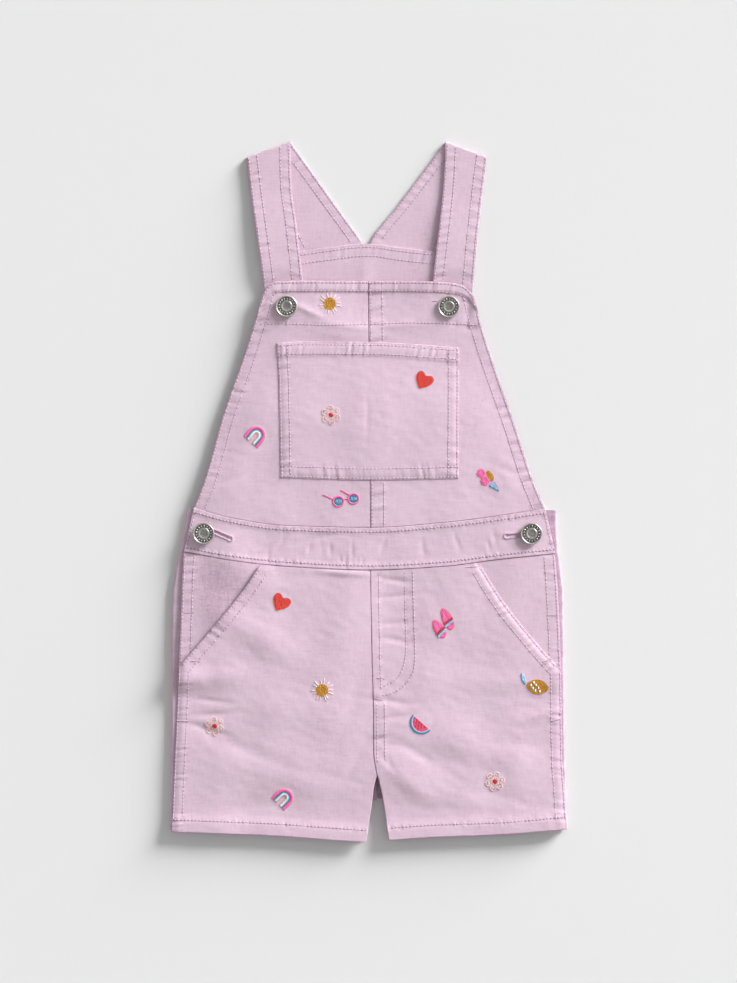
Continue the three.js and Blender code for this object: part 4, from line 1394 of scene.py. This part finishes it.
def sun(needle, panel, x, y, turn):
    """A round gold middle in a wreath of single pale rays that taper outward."""
    core, root, tips, rays = 4.3, 2.8, (7.9, 8.8), 14
    for i in range(rays):
        angle = turn + 360 * i / rays + 5 * math.sin(3.0 * i)
        for from_middle, to_middle in ((root, tips[i % 2]), (root + 0.9, core + 2.2)):
            ray = turned([(from_middle, 0), (to_middle, 0)], angle, (x, y))
            needle.add("cream", panel, ray[0], ray[1], 0.16)
    fill(needle, "gold", panel, turned(ring(core), 0, (x, y)), 28 + turn, level=0.35)
    run_stitch(needle, "gold", panel, turned(ring(core - 0.2), 0, (x, y)), level=0.4, close=True)
    run_stitch(needle, "gold", panel, turned(ring(core * 0.55), 0, (x, y)), level=0.6, close=True)


def heart(needle, panel, x, y, turn):
    """A plump heart in slanting satin stitch over an underlay, with a corded edge."""
    t = np.linspace(0, 2 * math.pi, 44, endpoint=False)
    bulge = np.sign(np.sin(t)) * np.abs(np.sin(t)) ** 2
    rise = 4.9 * np.cos(t) - 1.7 * np.cos(2 * t) - 0.6 * np.cos(3 * t) - 0.25 * np.cos(4 * t) + 0.6
    shape = np.column_stack([6.2 * bulge, 1.08 * rise])
    outline = turned(shape, turn, (x, y))
    fill(needle, "coral", panel, outline, turn - 60, level=0.16, pitch=0.5)
    edged(needle, "coral", panel, outline, turn + 28, 0.38, 0.34)


def flower(needle, panel, x, y, turn):
    """Six thin open loops, pale inside, round a red knot."""
    for i in range(6):
        lean = turn + 60 * i
        centre = turned((4.7, 0), lean, (x, y))[0]
        loop = turned(ring(2.05, 13, 0.95, -140, 280), lean, centre)
        fill(needle, "blush", panel, turned(ring(1.25, 12), 0, centre), lean, level=0.1, pitch=0.5)
        run_stitch(needle, "cream", panel, loop, level=0.4, pitch=0.85)
        stem = [(1.4, 0.5), (3.4, 0.8), (1.4, -0.5), (3.4, -0.8), (2.2, 0.0), (5.2, 0.0)]
        stem = turned(stem, lean, (x, y))
        needle.add("cream", panel, stem[:4:2], stem[1:4:2], 0.2)
        needle.add("peach", panel, stem[4], stem[5], 0.12)
    fill(needle, "scarlet", panel, turned(ring(1.65, 14), 0, (x, y)), turn + 30, level=0.45)


def arch(radius, leg):
    """A line up one leg, over a half circle and down the other."""
    return np.vstack([[(radius, -leg)], ring(radius, 15, start=0, sweep=180), [(-radius, -leg)]])


def rainbow(needle, panel, x, y, turn):
    """Nested arches with straight legs."""
    leg = 5.9
    bands = (("pink", 5.4, 2.4, 0.4), ("blue", 3.95, 0.8, 0.34), ("sky", 3.35, 0.6, 0.3),
             ("white", 2.4, 1.4, 0.32), ("peach", 1.4, 0.6, 0.2))
    for colour, radius, width, level in bands:
        satin(needle, colour, panel, turned(arch(radius, leg), turn, (x, y)), width, level)


def sunglasses(needle, panel, lenses, arms):
    """Round lenses in a wide frame, with both arms open."""
    lens, frame_middle, frame_width, arm_width = 3.1, 3.55, 1.2, 1.0
    for centre in lenses:
        fill(needle, "blue", panel, turned(ring(lens), 0, centre), 15, level=0.2)
        for glint in (-1.8, -0.9, 0.3, 1.3, 2.0):
            reach = 1.9 - 0.4 * abs(glint)
            streak = turned([(glint - 0.4, -reach), (glint + 0.4, reach)], 0, centre)
            needle.add("sky", panel, streak[0], streak[1], 0.3)
        satin(needle, "pink", panel, turned(ring(frame_middle), 0, centre), frame_width, 0.42, close=True)
    for arm in arms:
        satin(needle, "pink", panel, arm, arm_width, level=0.35)


def ice_cream(needle, panel, x, y, turn):
    """Two pink scoops and a gold one on a narrow cone."""
    def at(*points):
        return turned(points, turn, (x, y))

    base_a, base_b, tip = (-1.0, -0.7), (2.6, 1.9), (6.3, -4.7)
    cone = at(base_a, base_b, tip)
    fill(needle, "sky", panel, cone, turn - 20, level=0.25)
    run_stitch(needle, "blue", panel, cone[[0, 2, 1]], level=0.45, pitch=0.9)
    gold = turned(ring(3.8, 24, squash=0.46), turn - 61, at((0.0, 6.1))[0])
    edged(needle, "gold", panel, gold, turn + 20, 0.32, 0.36)
    for centre, size in (((-6.2, 8.0), 2.85), ((-3.4, 2.6), 3.05)):
        scoop = turned(ring(size, 22), turn, at(centre)[0])
        edged(needle, "pink", panel, scoop, turn + 35, 0.42, 0.45)


def sandal(needle, panel, toe, heel):
    """A slide: a rounded sole, wider under its two slanting bands."""
    toe, heel = np.array(toe, float), np.array(heel, float)
    long = np.hypot(*(toe - heel)) / 2
    turn = math.degrees(math.atan2(*(toe - heel)[::-1])) - 90
    middle = (toe + heel) / 2
    v = np.linspace(0, 2 * math.pi, 30, endpoint=False)
    wide = 3.3 - 0.55 * np.sin(v) + 0.15 * np.cos(2 * v)
    outline = turned(np.column_stack([wide * np.cos(v), long * np.sin(v)]), turn, middle)
    fill(needle, "pink", panel, outline, turn + 12, level=0.3)
    run_stitch(needle, "rose", panel, outline, level=0.35, close=True)
    for colour, offset, width, level in (
        ("scarlet", -1.5, 1.5, 0.6), ("blue", -2.6, 0.45, 0.55), ("sky", -3.7, 1.7, 0.6),
    ):
        across = 3.6
        band = [(-across, offset - 0.9), (0, offset), (across, offset + 0.7)]
        satin(needle, colour, panel, turned(band, turn, middle), width, level)


def lemon(needle, panel, x, y, turn):
    """A lemon with a pip-dotted half, a nub at its end and one narrow leaf."""
    v = np.linspace(0, 2 * math.pi, 40, endpoint=False)
    nub = 1 + 0.16 * np.exp(-((np.cos(v) ** 2 - 1) / 0.16) ** 2)
    body = np.column_stack([6.6 * np.cos(v) * nub, 5.0 * np.sin(v)])
    outline = turned(body, turn, (x, y))
    edged(needle, "gold", panel, outline, turn + 35, 0.3, 0.38)
    pips = ((-4.9, 0.2), (-3.3, 2.4), (-3.2, -1.5), (-1.5, 0.9), (-1.2, -3.1), (0.6, -0.8), (1.9, -3.0))
    dots(needle, "white", panel, pips, turn, (x, y))
    leaf = turned(ring(4.1, 20, squash=0.28), -70, (x - 9.9, y + 5.6))
    fill(needle, "sky", panel, leaf, -72, level=0.3)
    run_stitch(needle, "blue", panel, leaf[9:], level=0.45)


def watermelon(needle, panel, x, y, turn):
    """A half slice: flesh, rind and a dark blue outer line."""
    def half(radius):
        return turned(ring(radius, 26, start=180, sweep=180), turn, (x, y))

    fill(needle, "rose", panel, half(6.3), turn + 20, level=0.3)
    satin(needle, "sky", panel, half(6.9), 1.0, level=0.38)
    satin(needle, "blue", panel, half(7.8), 0.9, level=0.42)
    pips = ((-3.6, -1.2), (-1.3, -1.0), (1.0, -1.4), (3.5, -1.1), (-2.6, -2.9), (-0.2, -3.1), (2.2, -2.9),
            (-1.2, -4.6), (0.9, -4.7))
    dots(needle, "scarlet", panel, pips, turn, (x, y), size=0.5, level=0.56)


# Glossy rayon, and for the buttonholes and bar tacks a duller thread that is lilac as the cloth
RAYON_ROUGHNESS, LILAC_ROUGHNESS = 0.42, 0.5
THREAD_COLOURS = {
    "gold": "#CC9326", "cream": "#FFE9E2", "peach": "#EFB9B0", "blush": "#EFC6C6", "coral": "#E4493C",
    "scarlet": "#D3262E", "pink": "#FF79B4", "rose": "#F85C88", "blue": "#5688AE", "sky": "#A9D6F2",
    "white": "#FFFFFF", "lilac": "#C6A8BD",
}
THREADS = {
    colour: spun_thread(
        f"rayon_thread_{colour}", code, LILAC_ROUGHNESS if colour == "lilac" else RAYON_ROUGHNESS
    )
    for colour, code in THREAD_COLOURS.items()
}

# Where each motif lies: x, y, turn and its reach, for the shallow dent that its stitches pull
MOTIFS = (
    (sun, (-26.9, 131.3, 6), 7.5), (sun, (-32.1, -138.5, 0), 7.5),
    (heart, (38.6, 77.5, -30), 6.5), (heart, (-61.0, -77.4, -30), 6.5),
    (flower, (-26.1, 53.4, 36), 6.8), (flower, (-107.4, -163.7, 38), 6.8),
    (flower, (88.3, -202.4, 14), 6.8),
    (rainbow, (-78.2, 39.4, -40), 7.5), (rainbow, (-58.8, -213.6, -45), 7.5),
    (ice_cream, (85.1, 5.0, 0), 7.5), (lemon, (118.2, -136.2, -10), 8.5),
    (watermelon, (37.2, -161.0, -41), 7.5),
)


def add_dent(panel, x, y, reach):
    """The cloth is drawn in round a motif."""
    depth, outside, width = 0.09, 0.8, 1.9

    def dent(at_x, at_y):
        far = np.hypot(at_x - x, at_y - y)
        return -depth * bell(far - reach, outside, width), 0.0

    panel.dents.append(dent)


BUTTONHOLES = (
    # a waist buttonhole runs from beside its button to the far end
    ((-108.6, -27.6), (-96.6, -32.9), waistband),
    ((107.0, -30.2), (96.4, -31.2), waistband),
)


def add_slit(panel, start, end):
    """The cloth rises in two lips beside a buttonhole, and sinks into its slit, which painted shade
    darkens.
    """
    path = Path([start, end])
    lip_height, lip_middle, lip_width = 0.2, 1.5, 0.9
    depth, slit_width, shade, shade_width = 0.5, 0.6, -1.4, 0.7

    def slit(x, y):
        far, _ = path.nearest(x, y)
        lips = lip_height * bell(far, lip_middle, lip_width)
        return lips - depth * bell(far, 0, slit_width), shade * bell(far, 0, shade_width)

    panel.dents.append(slit)


for _, (x, y, _), reach in MOTIFS:
    add_dent(panel_at(x, y), x, y, reach)
for start, end, panel in BUTTONHOLES:
    add_slit(panel, start, end)


def embroidery():
    """The motifs, in one piece for each colour of thread."""
    needle = Needlework()
    for shape, (x, y, turn), _ in MOTIFS:
        shape(needle, panel_at(x, y), x, y, turn)
    lenses = ((-20.9, -6.9), (-10.4, -5.0))
    arms = (((-31.5, -2.2), (-24.2, -5.6)), ((-19.0, 0.9), (-13.0, -2.4)), ((-17.6, -5.6), (-13.7, -4.9)))
    sunglasses(needle, bibs["left"], lenses, arms)
    sandal(needle, legs["right"], (51.8, -81.4), (58.4, -96.0))
    sandal(needle, legs["right"], (45.7, -89.7), (53.2, -101.5))
    return needle.build("embroidery", PITCH)


def close_work():
    """Buttonholes and bar tacks, in thread of the cloth's colour."""
    hole_stitch, tack_stitch, pitch, level = 1.4, 0.9, 0.5, 0.0
    needle = Needlework()
    for start, end, panel in BUTTONHOLES:
        a, b = np.array(start), np.array(end)
        turn = math.degrees(math.atan2(*(b - a)[::-1]))
        long, half_width = np.hypot(*(b - a)), 1.45
        far_end = turned(ring(half_width + 0.35, 9, start=-120, sweep=240), turn, b)
        near_end = turned(ring(half_width, 7, start=90, sweep=180), turn, a)
        edge = np.vstack([near_end, turned([(long - 1.2, -half_width)], turn, a), far_end])
        satin(needle, "lilac", panel, edge, hole_stitch, level, pitch, close=True)
    tacks = (
        (facings["left"], (-128.6, -84.7), (-121.6, -84.5)),
        (facings["right"], (124.7, -86.4), (132.2, -86.6)),
        (legs["left"], (-133.6, -160.3), (-125.6, -160.3)),
        (legs["right"], (128.0, -160.3), (134.6, -158.8)),
        (legs["left"], (-123.6, -118.2), (-117.2, -118.6)),
        (legs["right"], (121.6, -118.8), (127.2, -117.0)),
        (legs["right"], (6.0, -130.0), (11.4, -130.6)),
        (legs["right"], (68.0, -52.8), (76.6, -52.4)),
        (legs["right"], (5.0, -144.6), (9.6, -145.4)),
        (bibs["right"], (44.9, 132.9), (48.4, 133.1)),
    )
    for panel, start, end in tacks:
        satin(needle, "lilac", panel, [start, end], tack_stitch, level, 0.9 * pitch)
    return needle.build("close_work", pitch)


BUTTONS = ("button_bib_left", "button_bib_right", "button_waist_left", "button_waist_right")
BUTTON_CAP = (
    # radius and height over the cloth, and how much soot is left there
    (0.0, 2.2, 0.5), (1.4, 2.22, 0.5), (2.4, 2.3, 0.6), (2.85, 2.45, 0.3), (3.2, 2.6, 0.2),
    (3.6, 2.6, 0.2), (3.9, 2.5, 0.4), (4.1, 2.3, 0.9), (4.5, 2.2, 1.0), (5.9, 2.2, 1.0),
    (6.35, 2.3, 1.0), (6.55, 2.66, 0.2), (6.85, 2.9, 0.0), (7.15, 2.95, 0.0), (7.42, 2.82, 0.0),
    (7.6, 2.5, 0.1), (7.6, 2.1, 0.3), (7.45, 1.75, 0.6), (7.0, 1.45, 0.9), (6.2, 1.2, 1.0),
    (3.3, 0.95, 1.0), (3.1, 0.6, 1.0), (3.2, 0.05, 1.0), (0.0, 0.05, 1.0),
)

# How far each button is drawn down into the cloth by its shank, and aside, more than in the solids
SUNK = 1.1
DRAWN = {"button_bib_left": (0.2, -1.3), "button_bib_right": (0.0, -0.3),
         "button_waist_left": (0.8, 0.8), "button_waist_right": (-0.5, -0.7)}


def button_place(name):
    """A button's centre and the height that it stands on, in millimetres."""
    low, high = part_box(name)
    aside, up = DRAWN[name]
    x, y = (low[0] + high[0]) / 2 / MM + aside, (low[1] + high[1]) / 2 / MM + up
    lower = (SOLID_BIB_LIFT - BIB_LIFT) * ease(*STRAP_RISE, y)
    return x, y, low[2] / MM - SUNK + BIB_FLOAT * ease(*FLOAT_RISE, y) - lower


def button(name):
    """A cast shank button: a rolled rim, a dark sunken ring, a raised ring and a dished middle."""
    x, y, base = button_place(name)
    around = 64
    radius, height, soot = np.array(BUTTON_CAP).T
    # even short steps along the profile keep the cast edges soft
    marks = np.r_[0, np.cumsum(np.hypot(np.diff(radius), np.diff(height)))]
    fine = np.unique(np.r_[marks, np.arange(0, marks[-1], 0.5)])
    radius, height, soot = (np.interp(fine, marks, column) for column in (radius, height, soot))
    # a ring of almost no width stands for the point at each end
    radius[[0, -1]] = 0.01
    angle = np.linspace(0, 2 * math.pi, around, endpoint=False)
    r, a = np.meshgrid(radius, angle, indexing="ij")
    z = np.tile(height[:, None], (1, around))
    points = np.stack([x + r * np.cos(a), y + r * np.sin(a), base + z], axis=-1).reshape(-1, 3)
    grid = np.arange(len(points)).reshape(r.shape)
    after = np.roll(grid, -1, axis=1)
    sides = np.stack([grid[:-1], grid[1:], after[1:], after[:-1]], axis=-1).reshape(-1, 4)
    piece = quad_piece(f"{name}_metal", points, sides, np.repeat(soot, around), NICKEL)
    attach(piece, "root")
    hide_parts(name)


def button_ticks():
    """Plain raised ticks in the sunken ring of each button."""
    count, middle, long, wide, high, level = 17, 5.25, 1.7, 0.85, 0.8, 2.5
    places, lays = [], []
    for name in BUTTONS:
        x, y, base = button_place(name)
        for angle in np.radians(np.arange(count) * 360 / count):
            way = np.array([math.cos(angle), math.sin(angle), 0])
            places.append(way * middle + (x, y, base + level))
            lays.append(way * long)
    return strand_piece("button_ticks", np.array(places), np.array(lays), wide, high, 3, NICKEL)


def dress(piece, node, area=None):
    """Lets a cloth piece stand for its node. Its area, the size that it was cut to, is not used."""
    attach(piece, "root")
    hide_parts(node)


def cut_area(panel):
    """The area inside a panel's outline, in square metres."""
    x = np.r_[panel.x[:, 0], panel.x[-1, 1:], panel.x[-2::-1, -1], panel.x[0, -2:0:-1]]
    y = np.r_[panel.y[:, 0], panel.y[-1, 1:], panel.y[-2::-1, -1], panel.y[0, -2:0:-1]]
    return abs(np.dot(x, np.roll(y, 1)) - np.dot(y, np.roll(x, 1))) / 2 * MM * MM


def dress_panel(panel, node, material=TWILL):
    """Builds a panel and lets it stand for its node."""
    flat = (np.ptp(panel.x), np.ptp(panel.y))
    dress(panel.build(material), node, area=cut_area(panel))


for side in SIDES:
    dress(back_leg(side), f"back_leg_{side}")
    dress(straps[side].build(), f"strap_{side}")
    dress_panel(facings[side], f"slant_pocket_facing_{side}")
    dress_panel(legs[side], f"front_leg_{side}")
    dress_panel(bibs[side], f"front_bib_{side}")
dress_panel(back_bib, "back_bib")
dress_panel(waistband, "front_waistband", TWILL_ACROSS)
dress_panel(pocket, "bib_pocket")
for name in BUTTONS:
    button(name)
for piece in [topstitching()] + embroidery() + close_work():
    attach(piece, "root")
ticks = button_ticks()
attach(ticks, "root")

# The light that falls on the surface, in shares of the whole
WINDOW_SHARE = 0.55
FILL_SHARE = 0.03
SKY_SHARE = 0.415

# Directions in degrees: round from +X, and above the surface
WINDOW_AZIMUTH = 42
SURFACE_ELEVATION = 11  # the window grazes the surface for its long shadows
CLOTH_ELEVATION = 16  # and meets the cloth a little more steeply, because its folds are soft
WINDOW_WIDTH = 25
FILL_AZIMUTH, FILL_ELEVATION = 0, 30
LIGHT_DISTANCE = 1.0  # in metres
ZENITH_LOSS = 0.65  # how much darker the sky is straight above than at its rim


def aim(light, azimuth, elevation):
    """A light that shines on the middle of the surface from a direction."""
    holder = add_object(light.name, light)
    across, up = math.radians(azimuth), math.radians(elevation)
    holder.location = (
        LIGHT_DISTANCE * math.cos(up) * math.cos(across),
        LIGHT_DISTANCE * math.cos(up) * math.sin(across), LIGHT_DISTANCE * math.sin(up),
    )
    holder.rotation_euler = (math.radians(90 - elevation), 0, math.radians(azimuth + 90))
    return holder


def shine_on(holder, surface, state):
    """Lets a light reach the surface alone (INCLUDE), or everything but the surface (EXCLUDE)."""
    receivers = bpy.data.collections.new(f"{holder.name}_{state.lower()}")
    receivers.objects.link(surface)
    receivers.collection_objects[0].light_linking.link_state = state
    holder.light_linking.receiver_collection = receivers


def studio():
    """A pale surface, a broad low window from the upper right, a fill from the right and a soft sky.

    The window is two suns: one reaches the surface alone, and one everything that lies on it."""
    half, level = 4.0, -0.0001  # in metres, and just under what lies on it
    mesh = bpy.data.meshes.new("surface")
    corners = [(-half, -half, level), (half, -half, level), (half, half, level), (-half, half, level)]
    mesh.from_pydata(corners, [], [(0, 1, 2, 3)])
    surface = add_object("surface", mesh)
    material, tree = new_material("matt_paper")
    paper = {"Base Color": linear("#EBEBEB"), "Roughness": 0.95, "Specular IOR Level": 0.1}
    finish = add_node(tree, "ShaderNodeBsdfPrincipled", "BSDF", paper)
    add_node(tree, "ShaderNodeOutputMaterial", inputs={"Surface": finish})
    mesh.materials.append(material)

    for elevation, state in ((SURFACE_ELEVATION, "INCLUDE"), (CLOTH_ELEVATION, "EXCLUDE")):
        window = bpy.data.lights.new("window", "SUN")
        window.energy = WINDOW_SHARE * math.pi / math.sin(math.radians(elevation))
        window.angle = math.radians(WINDOW_WIDTH)
        shine_on(aim(window, WINDOW_AZIMUTH, elevation), surface, state)
    fill_light = bpy.data.lights.new("fill", "AREA")
    slant_loss = math.sin(math.radians(FILL_ELEVATION))
    fill_light.energy = FILL_SHARE * math.pi**2 * LIGHT_DISTANCE**2 / slant_loss
    fill_light.size = 0.6
    aim(fill_light, FILL_AZIMUTH, FILL_ELEVATION)

    world = bpy.data.worlds.new("studio")
    world.use_nodes = True
    tree = world.node_tree
    direction = add_node(tree, "ShaderNodeTexCoord", "Generated")
    height = add_node(tree, "ShaderNodeSeparateXYZ", "Z", {"Vector": direction})
    squared = add_node(tree, "ShaderNodeMath", 0, {0: height, 1: height}, operation="MULTIPLY")
    at_rim = SKY_SHARE / (1 - ZENITH_LOSS / 2)
    background = tree.nodes["Background"]
    background.inputs["Color"].default_value = (1, 1, 1, 1)
    strength = weighted(tree, at_rim, (squared, -at_rim * ZENITH_LOSS))
    tree.links.new(strength, background.inputs["Strength"])
    bpy.context.scene.world = world
    bpy.context.scene.view_settings.view_transform = "Standard"


def camera():
    """Straight down on the garment. One pixel of the 737 by 983 picture is 0.70 mm."""
    pixel, picture_height = 0.70, 983
    lens, sensor = 100, 36
    data = bpy.data.cameras.new("camera")
    data.lens, data.sensor_width = lens, sensor
    data.clip_end = 20
    holder = add_object("camera", data)
    holder.location = (0, 0, pixel * picture_height * lens / sensor * MM)
    bpy.context.scene.camera = holder


studio()
camera()
